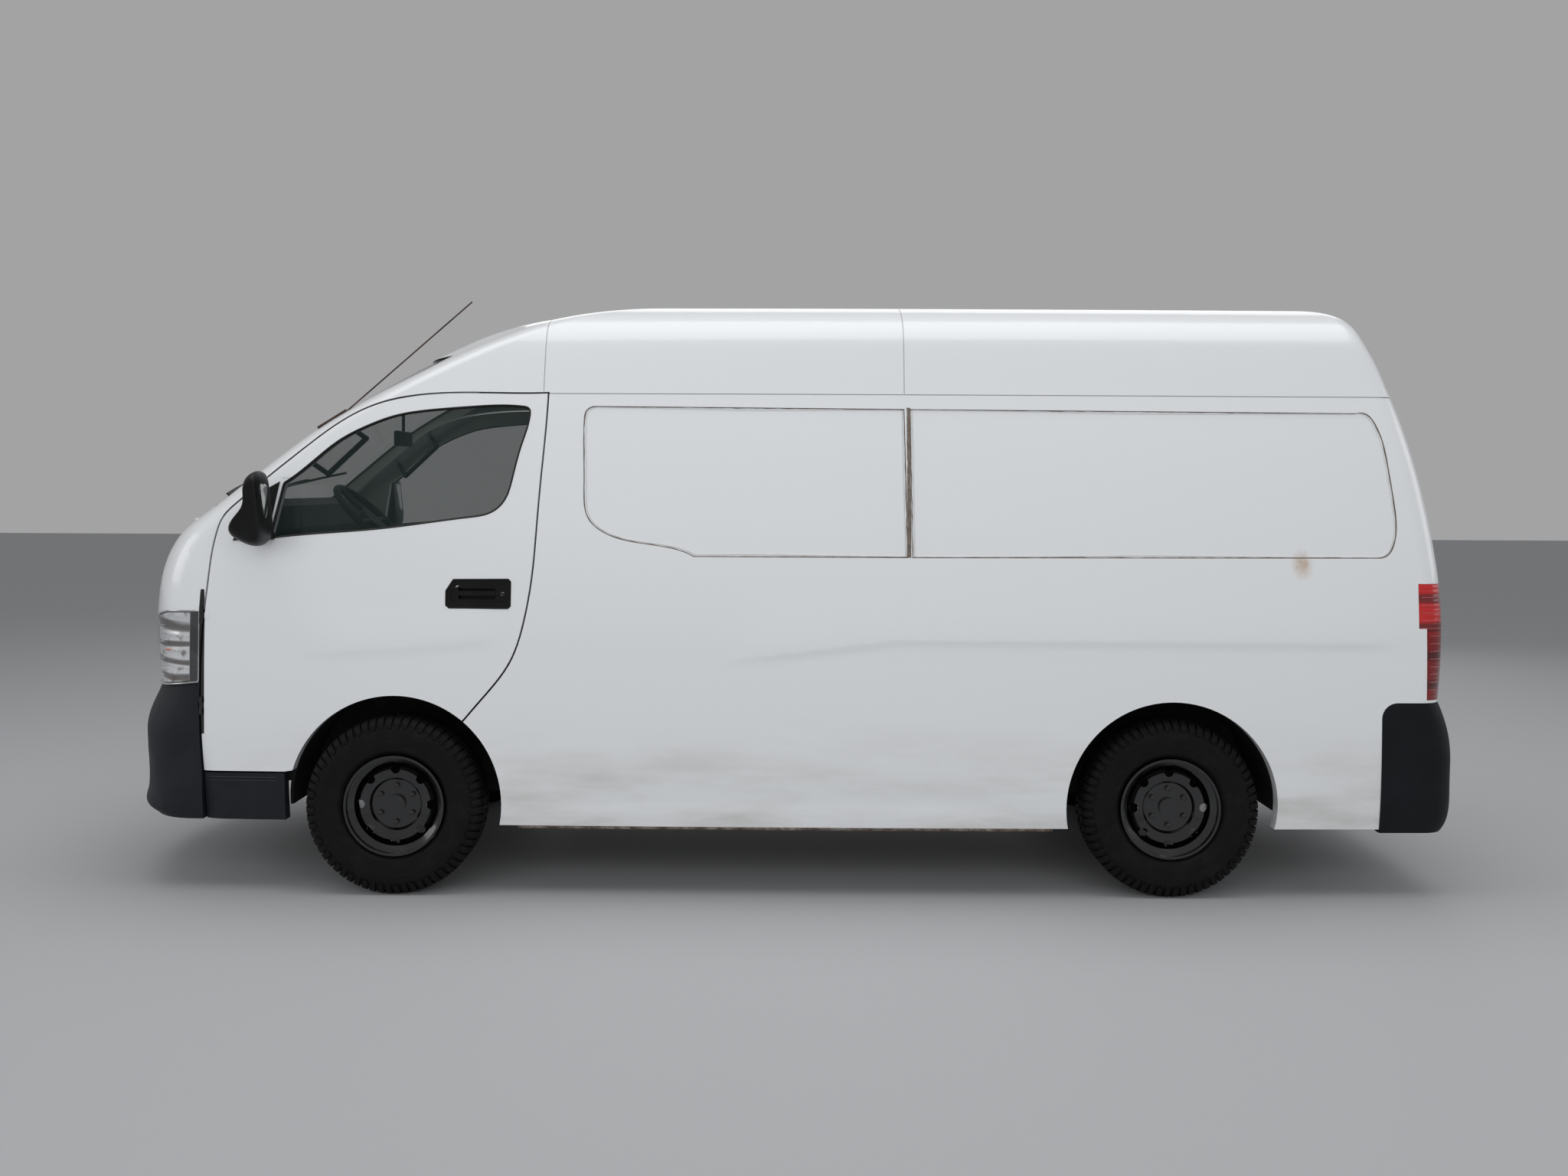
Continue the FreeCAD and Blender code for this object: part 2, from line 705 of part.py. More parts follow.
def door_opening():
    """Both door apertures, with their gaps."""
    points = grown(side_points(door_shares), door_gap)
    return Part.makeCompound(pair(side_prism(points, -far_y, -across(door_reach_share), door_corners)))


def tailgate_opening():
    points = grown(both_halves(tailgate_half_shares), door_gap)
    return end_prism(points, along(tail_opening_share), tail_x + overrun)


def bumper_region(extra):
    """Front bumper's side view: everything below the seam under the lamps."""
    points = [(x, z + extra) for x, z in side_points(bumper_seam_shares)]
    points[0] = (nose_x - overrun, points[0][1])
    points[-1] = (points[-1][0] + extra, points[-1][1])
    points += [(points[-1][0], 0), (nose_x - overrun, 0)]
    return side_prism(points, -far_y, far_y)


def rear_bumper_region(extra):
    """Rear bumper's side view, lower in the middle, where the tailgate closes on it."""
    front = along(rear_bumper_start_share) - extra
    block = box(front, tail_x + overrun, -far_y, far_y, 0, up(rear_bumper_top_share) + extra)
    edges = [e for e in block.Edges if e.BoundBox.XMax < front + edge_near and e.BoundBox.ZMin > sill_height]
    block = block.makeFillet(bumper_corner_round, edges)
    step_y = across(tailgate_half_shares[0][0]) + door_gap - extra
    step_z = up(rear_bumper_step_share) + extra
    return block.cut(box(along(tail_opening_share), tail_x + 2 * overrun, -step_y, step_y, step_z, height))


def bumper_form(rows, at_nose):
    """Outer form of a bumper, lofted through its own levels."""
    outlines = []
    for level, set_back, half_share in rows:
        half = across(half_share)
        front = along(set_back if at_nose else bumper_core_share)
        rear = tail_x - length * (bumper_core_share if at_nose else set_back)
        bow, corner = bumper_bow_share * half, bumper_corner_share * half
        outlines.append(plan_outline(up(level), front, rear, half, bow, corner))
    return Part.makeLoft(outlines, True, False, False)


def fog_pocket(extra):
    """Room for the round fog lamps in the front bumper's corners."""
    at = Vector(nose_x - overrun, across(fog_shares[0]), up(fog_shares[1]))
    return Part.makeCompound(pair(rod(at, at + backward * (front_overhang / 3), fog_radius + extra)))


def front_bumper():
    """Front bumper with three air intakes and the fog lamps' pockets."""
    bumper = bumper_form(front_bumper_level_shares, True).common(bumper_region(0)).cut(hull(bumper_wall, True))
    half = across(intake_half_share)
    slots = []
    for share in intake_shares:
        low, high = up(share), up(share) + intake_height
        slots.append(box(nose_x - overrun, along(cab_front_share), -half, half, low, high))
    notches = [notch for at in door_hinges for notch in pair(hinge_notch(at))]
    tools = slots + notches + [door_opening(), fog_pocket(fit_gap)]
    for tool in tools:
        bumper = bumper.cut(tool)
    return bumper


def fog_lamps():
    form = bumper_form(front_bumper_level_shares, True).translated(backward * fog_sink)
    return form.common(fog_pocket(0)).cut(hull(bumper_wall, True))


def rear_bumper():
    form = bumper_form(rear_bumper_level_shares, False)
    return form.common(rear_bumper_region(0)).cut(hull(bumper_wall, True))


def lamp_region(extra):
    """Headlamps, wrapped round the corners of the nose."""
    points = grown(end_points(lamp_shares), extra)
    block = end_prism(points, nose_x - overrun, along(cab_front_share) - lamp_end_gap + extra)
    return Part.makeCompound(pair(block.cut(bumper_region(seam_width - extra))))


def headlamps():
    lamps = lamp_region(0).common(body_form).cut(hull(lamp_depth, True))
    return lamps.Solids + fog_lamps().Solids


def tail_lamp_region(extra):
    """Tail lamps at the rear corners, deeper along the side above their step."""
    low, step, high = [up(share) for share in tail_lamp_shares]
    inner_y = across(tailgate_half_shares[1][0]) + door_gap + seam_width - extra
    end = tail_x + overrun
    lower = box(along(tail_lamp_lower_start_share) - extra, end, -far_y, -inner_y, low - extra, step + extra)
    upper = box(along(tail_lamp_start_share) - extra, end, -far_y, -inner_y, step - extra, high + extra)
    return Part.makeCompound(pair(lower.fuse(upper).removeSplitter()))


def tail_lamps():
    return tail_lamp_region(0).common(body_form).cut(hull(tail_lamp_depth, True)).Solids


def nose_prism(half_shares, extra):
    """End-view outline carried back through the nose as far as the doors."""
    return end_prism(grown(both_halves(half_shares), extra), nose_x - overrun, along(cab_front_share))


def bonnet():
    """Bonnet panel with its hinge leaves."""
    panel = nose_prism(bonnet_half_shares, 0).common(body_form).cut(hull(bonnet_thickness, True))
    reliefs = [hinge_relief(at, axis_y, bonnet_hinge_room) for at in bonnet_hinges]
    along_leaf, inward = (forward + downward).normalize(), (backward + downward).normalize()
    leaves = [hinge(at, axis_y, along_leaf, inward, reach=bonnet_leaf) for at in bonnet_hinges]
    return panel.cut(Part.makeCompound(reliefs)).multiFuse(leaves)


def grille():
    """Grille of level slats in a frame."""
    block = nose_prism(grille_half_shares, -fit_gap).common(hull(grille_recess)).cut(hull(grille_depth, True))
    low, high = [up(share) for _, share in grille_half_shares]
    pitch = (high - low) / slat_count
    half = across(grille_half_shares[0][0])
    slots = []
    for index in range(slat_count):
        base = low + pitch * (index + slat_start_share)
        for side in (-1, 1):
            a, b = sorted((side * slat_post, side * (half - slat_stile)))
            slots.append(box(nose_x, along(cab_front_share), a, b, base, base + pitch * slat_room_share))
    back = nose_prism(grille_half_shares, overrun).common(hull(grille_depth - slat_back, True))
    return block.cut(Part.makeCompound(slots).cut(back))


def front_panel():
    """Nose between the doors, with pockets for the lamps, the grille and the bonnet."""
    front_x = along(cab_front_share)
    low = up(bumper_height_share) + door_gap
    front = front_shell.common(box(nose_x - overrun, front_x, -far_y, far_y, low, up(belt_share)))
    strip_rear, strip_base = along(cab_side_rear_share), up(side_strip_base_share)
    strips = box(front_x - overrun, strip_rear, -far_y, far_y, strip_base, up(belt_share))
    panel = front.fuse(shell.common(strips))
    tools = door_reliefs + [
        door_opening(),
        bumper_region(fit_gap).cut(hull(bumper_wall + fit_gap, True)),
        lamp_region(fit_gap).cut(hull(lamp_depth + fit_gap, True)),
        nose_prism(grille_half_shares, 0).cut(hull(grille_depth + fit_gap, True)),
        nose_prism(bonnet_half_shares, door_gap).cut(hull(bonnet_pocket, True)),
        cowl_trough(),
    ]
    for tool in tools:
        panel = panel.cut(tool)
    arm = (backward + upward * bonnet_arm_rise_share).normalize()
    arm_under = (downward + backward * bonnet_arm_rise_share).normalize()
    arm_reach = cowl_radius + bonnet_arm_bite
    fixed = [hinge(at, axis_y, arm, arm_under, False, arm_reach) for at in bonnet_hinges]
    for at in door_hinges:
        fixed += pair(hinge(at, axis_z, axis_y, forward, False, front_wall, door_leaf_set_off))
    return panel.multiFuse(fixed)


def windscreen_prism(extra):
    points = grown(both_halves(windscreen_half_shares), extra)
    return end_prism(points, nose_x - overrun, along(roof_split_share) - overrun)


def glass_sheet(prism):
    """Pane of glass set into the body's skin."""
    return prism.common(hull(glass_recess)).cut(hull(glass_recess + glass_thickness, True))


def windscreen():
    return glass_sheet(windscreen_prism(-fit_gap))


def cross_seam(share):
    """Shallow groove across the roof, where two of its panels meet."""
    x = along(share)
    base = up(gutter_share) - seam_width / 2
    return box(x - seam_width / 2, x + seam_width / 2, -far_y, far_y, base, far_z).cut(seam_form)


def gutter_seam():
    """Shallow groove along both sides, where the roof stands on the body."""
    low = up(gutter_share) - seam_width / 2
    return box(along(roof_split_share), tail_x, -far_y, far_y, low, low + seam_width).cut(seam_form)


def roof_front():
    """Front of the roof with the windscreen pillars."""
    cap = box(nose_x, along(roof_split_share), -far_y, far_y, up(gutter_share), far_z)
    pillars = box(nose_x, along(pillar_rear_share), -far_y, far_y, up(belt_share), far_z)
    piece = shell.common(cap.fuse(pillars))
    for tool in (door_opening(), windscreen_prism(0), cross_seam(roof_split_share), cowl_trough()):
        piece = piece.cut(tool)
    return piece


def roof_middle():
    block = box(along(roof_split_share), along(roof_seam_share), -far_y, far_y, up(gutter_share), far_z)
    grooves = [cross_seam(roof_split_share), cross_seam(roof_seam_share), gutter_seam()]
    return shell.common(block).cut(door_opening()).cut(Part.makeCompound(grooves))


def roof_rear():
    """Rear of the roof, with the tailgate's fixed hinges."""
    block = box(along(roof_seam_share), tail_x, -far_y, far_y, up(gutter_share), far_z)
    piece = shell.common(block).cut(Part.makeCompound([cross_seam(roof_seam_share), gutter_seam()]))
    piece = piece.cut(tailgate_opening())
    reliefs = [hinge_relief(at, axis_y) for at in tailgate_hinges]
    along_leaf, inward = (forward + upward).normalize(), (forward + downward).normalize()
    fixed = [hinge(at, axis_y, along_leaf, inward, False) for at in tailgate_hinges]
    return piece.cut(Part.makeCompound(reliefs)).multiFuse(fixed)


def blank_prisms(side, extra):
    """Panels let into the side's window openings."""
    shapes = []
    outlines = [(front_blank_shares, front_blank_corners), (rear_blank_shares, rear_blank_corners)]
    for shares, corners in outlines:
        prism = side_prism(grown(side_points(shares), extra), -far_y, -side_inner, corners)
        shapes.append(prism if side < 0 else mirrored(prism))
    return shapes


def window_blanks():
    solids = []
    for side in (-1, 1):
        for prism in blank_prisms(side, -fit_gap):
            panel = prism.common(hull(blank_recess)).cut(hull(blank_recess + blank_thickness, True))
            solids += panel.Solids
    return solids


def sliding_door_prism(extra):
    return side_prism(grown(side_points(sliding_door_shares), extra), side_inner, far_y)


def slide_rail_slot():
    """Slot behind the sliding door, which its middle roller runs in."""
    start, end, level = slide_rail_shares
    low = up(level) - slide_rail_height / 2
    slot = box(along(start), along(end), side_inner, far_y, low, low + slide_rail_height)
    return slot.cut(hull(slide_rail_depth, True))


def side_wall(side):
    """Side of the body from the door to the tail, with its arch and window recesses."""
    low, high = sorted((side * side_inner, side * far_y))
    post_y = across(tail_post_half_share)
    post = box(along(tail_post_share), tail_x, -post_y, post_y, 0, up(tailgate_half_shares[0][1]))
    piece = shell.common(box(along(side_front_share), tail_x, low, high, 0, up(gutter_share)))
    tools = [
        door_opening(), arch_cuts, tailgate_opening(), post, gutter_seam(),
        rear_bumper_region(fit_gap).cut(hull(bumper_wall + fit_gap, True)),
        tail_lamp_region(fit_gap).cut(hull(tail_lamp_depth + fit_gap, True)),
    ]
    tools += [prism.cut(blank_pocket_form) for prism in blank_prisms(side, 0)]
    if side > 0:
        tools += [sliding_door_prism(fit_gap), slide_rail_slot()]
        tools.append(sliding_door_prism(seam_width).cut(seam_form))
    for tool in tools:
        piece = piece.cut(tool)
    return piece


def handle_prism(extra, shift=0.0):
    """Handle's outline on the left side, or the same outline further back."""
    points = grown([(x + shift, z) for x, z in side_points(handle_shares)], extra)
    return side_prism(points, -far_y, -side_inner)


def handle_pocket(shift=0.0):
    return handle_prism(fit_gap, shift).cut(hull(handle_depth + fit_gap, True))


def handle(shift=0.0):
    """Handle in its dished plate."""
    front, rear, base, top = handle_dish_shares
    x0, x1 = along(front) + shift, along(rear) + shift
    bar_base, bar_top = [up(share) for share in handle_bar_shares]
    plate = handle_prism(0, shift).common(body_form).cut(hull(handle_depth, True))
    dish = box(x0, x1, -far_y, -side_inner, up(base), up(top)).cut(hull(handle_depth - handle_floor, True))
    bar = box(x0, x1, -far_y, -side_inner, bar_base, bar_top)
    bar = bar.common(hull(-handle_proud)).cut(hull(handle_depth - handle_floor))
    return joined([plate.cut(dish), bar])


slider_handle_shift = slider_handle_shift_share * length


def sliding_door():
    """Side door of the right side, shut, with its handle's pocket."""
    piece = shell.common(sliding_door_prism(0)).cut(blank_prisms(1, 0)[0].cut(blank_pocket_form))
    return piece.cut(mirrored(handle_pocket(slider_handle_shift)))


def door():
    """Left front door, with its window opening and hinge leaves."""
    panel = shell.common(side_prism(side_points(door_shares), -far_y, -across(door_reach_share), door_corners))
    reliefs = [hinge_relief(at, axis_z) for at in door_hinges]
    leaves = [hinge(at, axis_z, backward, axis_y) for at in door_hinges]
    window = side_prism(side_points(door_glass_shares), -far_y, 0, door_glass_corners)
    panel = panel.cut(window).cut(arch_cuts).cut(Part.makeCompound(reliefs)).multiFuse(leaves)
    return panel.cut(handle_pocket())


def door_glass():
    points = grown(side_points(door_glass_shares), -fit_gap)
    return glass_sheet(side_prism(points, -far_y, -side_inner, door_glass_corners))


def mirror():
    """Door mirror on its arm, with the sail panel that carries it."""
    points = side_points(mirror_shares)
    middle_x = sum(x for x, _ in points) / len(points)
    middle_z = sum(z for _, z in points) / len(points)
    front, rear, base, top = mirror_arm_shares
    sail_foot = skin_y(along(front), up(base))
    head_inner = sail_foot + mirror_stand_off
    slices = []
    for place_share, size_share in mirror_slice_shares:
        y = -head_inner - mirror_head_width * place_share
        curve = Part.BSplineCurve()
        outline = [
            Vector(middle_x + (x - middle_x) * size_share, y, middle_z + (z - middle_z) * size_share)
            for x, z in points]
        curve.interpolate(Points=outline, PeriodicFlag=True)
        slices.append(Part.Wire([curve.toShape()]))
    head = Part.makeLoft(slices, True, False, False)
    arm_end, arm_root = head_inner + mirror_arm_reach, sail_foot - mirror_arm_root
    arm = box(along(front), along(rear), -arm_end, -arm_root, up(base), up(top))
    sail = side_prism(side_points(sail_shares), -far_y, -side_inner).common(hull(-sail_proud))
    return head.multiFuse([arm.cut(body_form), sail.cut(body_form)])


def plate_place():
    """Shallow recess for a number plate on the tailgate."""
    half_share, low, high = plate_shares
    half = across(half_share)
    block = box(along(tail_opening_share), tail_x + overrun, -half, half, up(low), up(high))
    return block.cut(body_form.translated(forward * plate_recess))


def tail_grip():
    """Grip above the number plate's place."""
    half_share, low, high = tail_grip_shares
    half = across(half_share)
    bar = box(along(tail_opening_share), tail_x + overrun, -half, half, up(low), up(high))
    bar = bar.common(body_form.translated(backward * tail_grip_proud))
    return bar.cut(body_form)


def tailgate():
    """Tailgate with its window opening, plate recess and hinge leaves."""
    front, rear = along(tail_opening_share), tail_x + overrun
    panel = tail_shell.common(end_prism(both_halves(tailgate_half_shares), front, rear))
    panel = panel.cut(end_prism(both_halves(rear_glass_half_shares), front, rear))
    reliefs = [hinge_relief(at, axis_y) for at in tailgate_hinges]
    leaves = [hinge(at, axis_y, downward, forward) for at in tailgate_hinges]
    return panel.cut(plate_place()).cut(Part.makeCompound(reliefs)).multiFuse(leaves)


def tailgate_glass():
    points = grown(both_halves(rear_glass_half_shares), -fit_gap)
    return glass_sheet(end_prism(points, along(tail_opening_share), tail_x + overrun))


def step_cladding():
    front, rear = along(bumper_end_share) + seam_width, along(step_end_share)
    top = up(door_base_share) - door_gap
    piece = shell.common(box(front, rear, -far_y, -side_inner, up(step_base_share), top))
    return piece.cut(arch_cuts)


def arch_housing(x, radius, room, slot):
    """Closed housings over the two wheels of one axle, open below, with a slot in their inner walls."""
    start, middle = Vector(x, -far_y, arch_centre_height), Vector(x, -arch_inner_y, arch_centre_height)
    outer = rod(start, middle + axis_y * arch_liner, radius + arch_liner)
    below = box(nose_x, tail_x, -far_y, far_y, 0, liner_base)
    return pair(outer.cut(rod(start, middle, radius)).common(room).cut(below).cut(slot))


def arch_room(x, radius):
    """Space that the wheels of one axle keep free inside their housings."""
    start, end = Vector(x, -far_y, arch_centre_height), Vector(x, -arch_inner_y, arch_centre_height)
    return Part.makeCompound(pair(rod(start, end, radius)))


def cab_floor():
    """Footwell, seat floor and the front wheels' housings."""
    half = width / 2
    t = floor_thickness
    front, middle, step = along(footwell_front_share), along(cab_front_share), along(step_end_share)
    rear = along(seat_floor_end_share)
    side_room = hull(wall + door_gap, True)
    plates = joined([
        box(front, step + t, -half, half, footwell_height - t, footwell_height),
        box(step, step + t, -half, half, footwell_height - t, seat_floor_height),
        box(step, rear, -half, half, seat_floor_height - t, seat_floor_height),
        box(rear - t, rear, -half, half, load_floor_height - t, seat_floor_height),
    ])
    nose_room = box(nose_x, middle, -half, half, 0, height).common(hull(front_wall + fit_gap, True))
    cab_room = box(middle, tail_x, -half, half, 0, height).common(side_room)
    bracket_x = along(bumper_end_share) + bracket_inset
    bracket = box(bracket_x, step - bracket_inset, -half, -across(bracket_half_share), up(bracket_base_share),
                  footwell_height - t / 2)
    door_clear = up(door_base_share) - door_gap
    low_room = box(nose_x, tail_x, -half, half, 0, door_clear).common(hull(wall + fit_gap, True))
    brackets = pair(bracket.common(low_room).fuse(bracket.common(side_room)))
    link_top = tyre_radius + kingpin_height / 2 + link_slot_room
    link_half = link_length / 2 + link_slot_room
    link_slot = box(front_axle_x - link_half, front_axle_x + link_half, -half, 0,
                    link_top - link_height - 2 * link_slot_room, link_top)
    housings = arch_housing(front_axle_x, front_arch_radius, side_room, link_slot)
    floor = plates.common(nose_room).multiFuse([plates.common(cab_room)] + brackets + housings)
    return floor.cut(arch_room(front_axle_x, front_arch_radius))


def load_floor():
    """Load floor with the rear wheels' housings and the sill that the tailgate closes on."""
    half = width / 2
    t = floor_thickness
    front, post_x = along(seat_floor_end_share), along(tail_post_share)
    room = hull(wall + lining_gap, True)
    plate = box(front, tail_x, -half, half, load_floor_height - t, load_floor_height).common(room)
    gate_form = body_form.translated(forward * (tailgate_depth + door_gap))
    gate_room = box(post_x, tail_x, -half, half, 0, height).cut(gate_form)
    sill_half, link_half = [across(share) for share in rear_sill_half_shares]
    sill_top = up(rear_bumper_step_share)
    sill_base, sill_front = sill_height + fit_gap, along(rear_sill_start_share)
    sill = shell.common(box(sill_front, tail_x, -sill_half, sill_half, sill_base, sill_top))
    sill = sill.cut(rear_bumper_region(fit_gap).cut(hull(bumper_wall + fit_gap, True)))
    link_top = load_floor_height - t
    link = box(post_x, tail_x, -link_half, link_half, link_top - sill_link_depth, link_top + fit_gap)
    link = link.common(hull(bumper_wall + fit_gap, True))
    slot_half = axle_tube_radius + axle_slot_room
    axle_slot = box(rear_axle_x - slot_half, rear_axle_x + slot_half, -half, 0, 0, tyre_radius + slot_half)
    housings = arch_housing(rear_axle_x, rear_arch_radius, room, axle_slot)
    floor = plate.cut(gate_room).multiFuse(housings + [sill, link])
    return floor.cut(arch_room(rear_axle_x, rear_arch_radius))


def chassis():
    """Two box rails that follow the floor, and their crossmembers."""
    top = side_points(rail_top_shares)
    bottom = [(x, z - rail_depth) for x, z in reversed(top)]
    rail = side_prism(top + bottom, -rail_inner_y - rail_width, -rail_inner_y)
    room = hull(front_wall + door_gap, True)
    rails = [piece.common(room) for piece in pair(rail)]
    reach = rail_inner_y + cross_bite
    crosses = []
    for share in cross_place_shares:
        x = along(share)
        a, b = next((a, b) for a, b in zip(top, top[1:]) if a[0] <= x <= b[0])
        z = a[1] + (b[1] - a[1]) * (x - a[0]) / (b[0] - a[0]) - rail_depth / 2
        crosses.append(box(x, x + cross_width, -reach, reach, z - cross_depth / 2, z + cross_depth / 2))
    return rails[0].multiFuse([rails[1]] + crosses)


def tyre(middle):
    """Tyre with rounded shoulders; the tread's blocks are finer than this form."""
    half = [(tyre_radius * r, tyre_width * w) for r, w in tyre_row_shares]
    left = [(r, -w) for r, w in reversed(half)]
    return ring(half + left, middle)


def around(count, radius, middle, turn):
    """Places round a circle in the side view."""
    angles = [2 * math.pi * (index + turn) / count for index in range(count)]
    return [middle + Vector(math.cos(angle), 0, math.sin(angle)) * radius for angle in angles]


def wheel(middle):
    """Pressed steel wheel of the left side: rim, dished disc with vents, hub and nuts."""
    half = rim_width / 2
    outer_radius = bead_radius - fit_gap
    well = outer_radius - rim_well_depth
    outer = [(outer_radius - depth * rim_well_depth, place * half) for depth, place in rim_row_shares]
    inner = [(radius - rim_metal, y) for radius, y in reversed(outer)]
    barrel = ring(outer + inner, middle)
    bore = spindle_radius + shaft_clearance
    seat = boss_seat - disc_offset
    crown = -disc_crown - disc_offset
    edge = disc_lip - disc_offset
    vent_circle = well * vent_circle_share
    face_rows = [
        (bore, seat), (stud_circle / 2 + 2 * lug_radius, seat),
        (vent_circle - 2 * vent_radius, (seat + crown) / 2), (vent_circle, crown), (well - rim_metal / 2, edge),
    ]
    back_rows = [(radius, y + disc_metal) for radius, y in reversed(face_rows[1:])]
    boss_rows = [(hub_radius, seat + disc_metal), (hub_radius, seat + boss_length), (bore, seat + boss_length)]
    disc = ring(face_rows + back_rows + boss_rows, middle)
    vent_places = around(vent_count, vent_circle, middle, 0)
    vents = [rod(at - axis_y * half, at + axis_y * half, vent_radius) for at in vent_places]
    bite = disc_metal / 2
    lugs = []
    for place in around(lug_count, stud_circle / 2, middle, 1 / 2):
        start = place + axis_y * (seat + bite)
        lugs.append(rod(start, start - axis_y * (lug_length + bite), lug_radius))
    cap_start = middle + axis_y * (seat + bite)
    cap = rod(cap_start, cap_start - axis_y * (hub_cap_length + bite), hub_cap_radius)
    return barrel.multiFuse([disc.cut(Part.makeCompound(vents))] + lugs + [cap])


def knuckle():
    """Upright on its kingpin, with the stub axle that carries the left front wheel."""
    middle = Vector(front_axle_x, -kingpin_y, tyre_radius)
    post = rod(middle - axis_z * upright_length / 2, middle + axis_z * upright_length / 2, upright_radius)
    pin = rod(middle - axis_z * kingpin_height / 2, middle + axis_z * kingpin_height / 2, kingpin_radius)
    stub_y = front_wheel_y + disc_offset - spindle_end
    stub = rod(middle, Vector(front_axle_x, -stub_y, tyre_radius), spindle_radius)
    arm_start = middle + downward * steer_arm_drop
    arm = rod(arm_start, arm_start + forward * steer_arm_length + axis_y * steer_arm_inset, steer_arm_radius)
    return post.multiFuse([pin, stub, arm])


def front_suspension():
    """Crossmember with an upper and a lower link to each kingpin."""
    x = front_axle_x
    half, rail_y = member_length / 2, rail_inner_y + rail_width
    rail_base = up(rail_top_shares[2][1]) - rail_depth
    member = box(x - half, x + half, -rail_y, rail_y, member_base, member_base + member_height)
    tower_half = tower_length / 2
    towers = pair(box(x - tower_half, x + tower_half, -rail_y, -rail_inner_y, member_base, rail_base))
    rise = (kingpin_height - link_height) / 2
    links = []
    for z in (tyre_radius - rise, tyre_radius + rise):
        eye_at = Vector(x, -kingpin_y, z)
        low, high = z - link_height / 2, z + link_height / 2
        eye_half, eye_radius = axis_z * link_height / 2, kingpin_radius + link_eye_wall
        eye = rod(eye_at - eye_half, eye_at + eye_half, eye_radius)
        bar_front, bar_end = x - link_length / 2, rail_inner_y + rail_width / 2
        bar = box(bar_front, bar_front + link_length, -kingpin_y, -bar_end, low, high)
        bore = rod(eye_at - axis_z * overrun, eye_at + axis_z * overrun, kingpin_radius + shaft_clearance)
        links += pair(eye.fuse(bar).cut(bore))
    return member.multiFuse(towers + links)


def back_axle():
    """Solid rear axle with its differential, drums and shaft ends."""
    middle = Vector(rear_axle_x, 0, tyre_radius)
    reach = axis_y * (rear_wheel_y - axle_tube_inset)
    pieces = [rod(middle - reach, middle + reach, axle_tube_radius)]
    pieces.append(Part.makeSphere(differential_radius, middle))
    for side in (-1, 1):
        outward = axis_y * side
        start = middle + outward * (rear_wheel_y - drum_inset)
        pieces.append(rod(start, start + outward * drum_length, drum_radius))
        end = middle + outward * (rear_wheel_y + disc_offset - spindle_end)
        pieces.append(rod(start, end, spindle_radius))
    return joined(pieces)


def leaf_springs():
    """Leaf springs on the axle, hung from the rails."""
    half_span = spring_span / 2
    y0 = -spring_y - spring_width / 2
    seat = tyre_radius + axle_tube_radius + fit_gap
    x = rear_axle_x
    solids = []
    for index in range(leaf_count):
        part_share = 1 - leaf_step_share * index
        reach, bow = half_span * part_share, spring_rise * part_share ** 2
        base = seat + leaf_height * (leaf_count - 1 - index)
        ends = [Vector(x - reach, y0, base + bow), Vector(x + reach, y0, base + bow)]
        low = Part.Arc(ends[0], Vector(x, y0, base), ends[1]).toShape()
        high = low.translated(upward * leaf_height)
        caps = [Part.makeLine(end, end + upward * leaf_height) for end in ends]
        wire = Part.Wire(Part.sortEdges([low, high] + caps)[0])
        solids.append(Part.Face(wire).extrude(axis_y * spring_width))
    top = up(rail_top_shares[2][1]) - rail_depth - fit_gap
    base = seat + spring_rise + leaf_height * (leaf_count - 1) - shackle_inset
    for side in (-1, 1):
        end_x = x + side * (half_span - shackle_length / 2) - shackle_length / 2
        solids.append(box(end_x, end_x + shackle_length, y0, y0 + spring_width, base, top))
    return pair(joined(solids))


def engine():
    half = across(engine_half_share)
    front, rear = [along(share) for share in engine_shares]
    return box(front, rear, -half, half, engine_base, load_floor_height - engine_clearance)


def prop_shaft():
    """Propeller shaft from the gearbox to the rear axle."""
    start = Vector(along(engine_shares[1]), 0, shaft_front_height)
    end = Vector(rear_axle_x, 0, tyre_radius)
    reach = (end - start).normalize()
    return rod(start, end - reach * (differential_radius + fit_gap), shaft_radius).cut(engine())


def exhaust():
    """Pipe under the right side with its silencer."""
    y = across(pipe_side_share)
    pipe = rod(*[Vector(along(share), y, pipe_height) for share in pipe_shares], pipe_radius)
    silencer = rod(*[Vector(along(share), y, pipe_height) for share in silencer_shares], silencer_radius)
    top = load_floor_height - floor_thickness - fit_gap
    half = hanger_width / 2
    hangers = []
    for share in hanger_shares:
        x = along(share)
        hangers.append(box(x - half, x + half, y - half, y + half, pipe_height, top))
    return pipe.multiFuse([silencer] + hangers)


def fuel_tank():
    front, rear = [along(share) for share in tank_shares]
    inner_y = rail_inner_y + rail_width + tank_rail_gap
    top = load_floor_height - floor_thickness - fit_gap
    block = box(front, rear, -across(tank_side_share), -inner_y, tank_base, top)
    return block.makeFillet(tank_round, [e for e in block.Edges if e.BoundBox.ZMax < tank_base + edge_near])


def spare_wheel():
    """Spare hung under the rear floor by its winch rod."""
    middle = Vector(along(spare_share), 0, spare_height)
    origin = Vector(0, 0, 0)
    flat = tyre(origin).fuse(wheel(origin))
    flat.rotate(origin, backward, -90)
    flat.translate(middle)
    top = Vector(middle.x, middle.y, load_floor_height - floor_thickness - fit_gap)
    return flat.fuse(rod(middle, top, spare_rod_radius))


def dashboard():
    form = side_prism(side_points(dashboard_shares), -width / 2, width / 2)
    return form.common(hull(front_wall + fit_gap, True))


wheel_centre = Vector(along(steering_wheel_shares[0]), driver_y, up(steering_wheel_shares[1]))
column_axis = (backward + upward * column_rise_share).normalize()


def steering_column():
    """Column from the dashboard to the back of the steering wheel."""
    top = wheel_centre - column_axis * (wheel_boss_height - wheel_boss_front + fit_gap)
    return rod(wheel_centre - column_axis * column_length, top, column_radius).cut(dashboard())


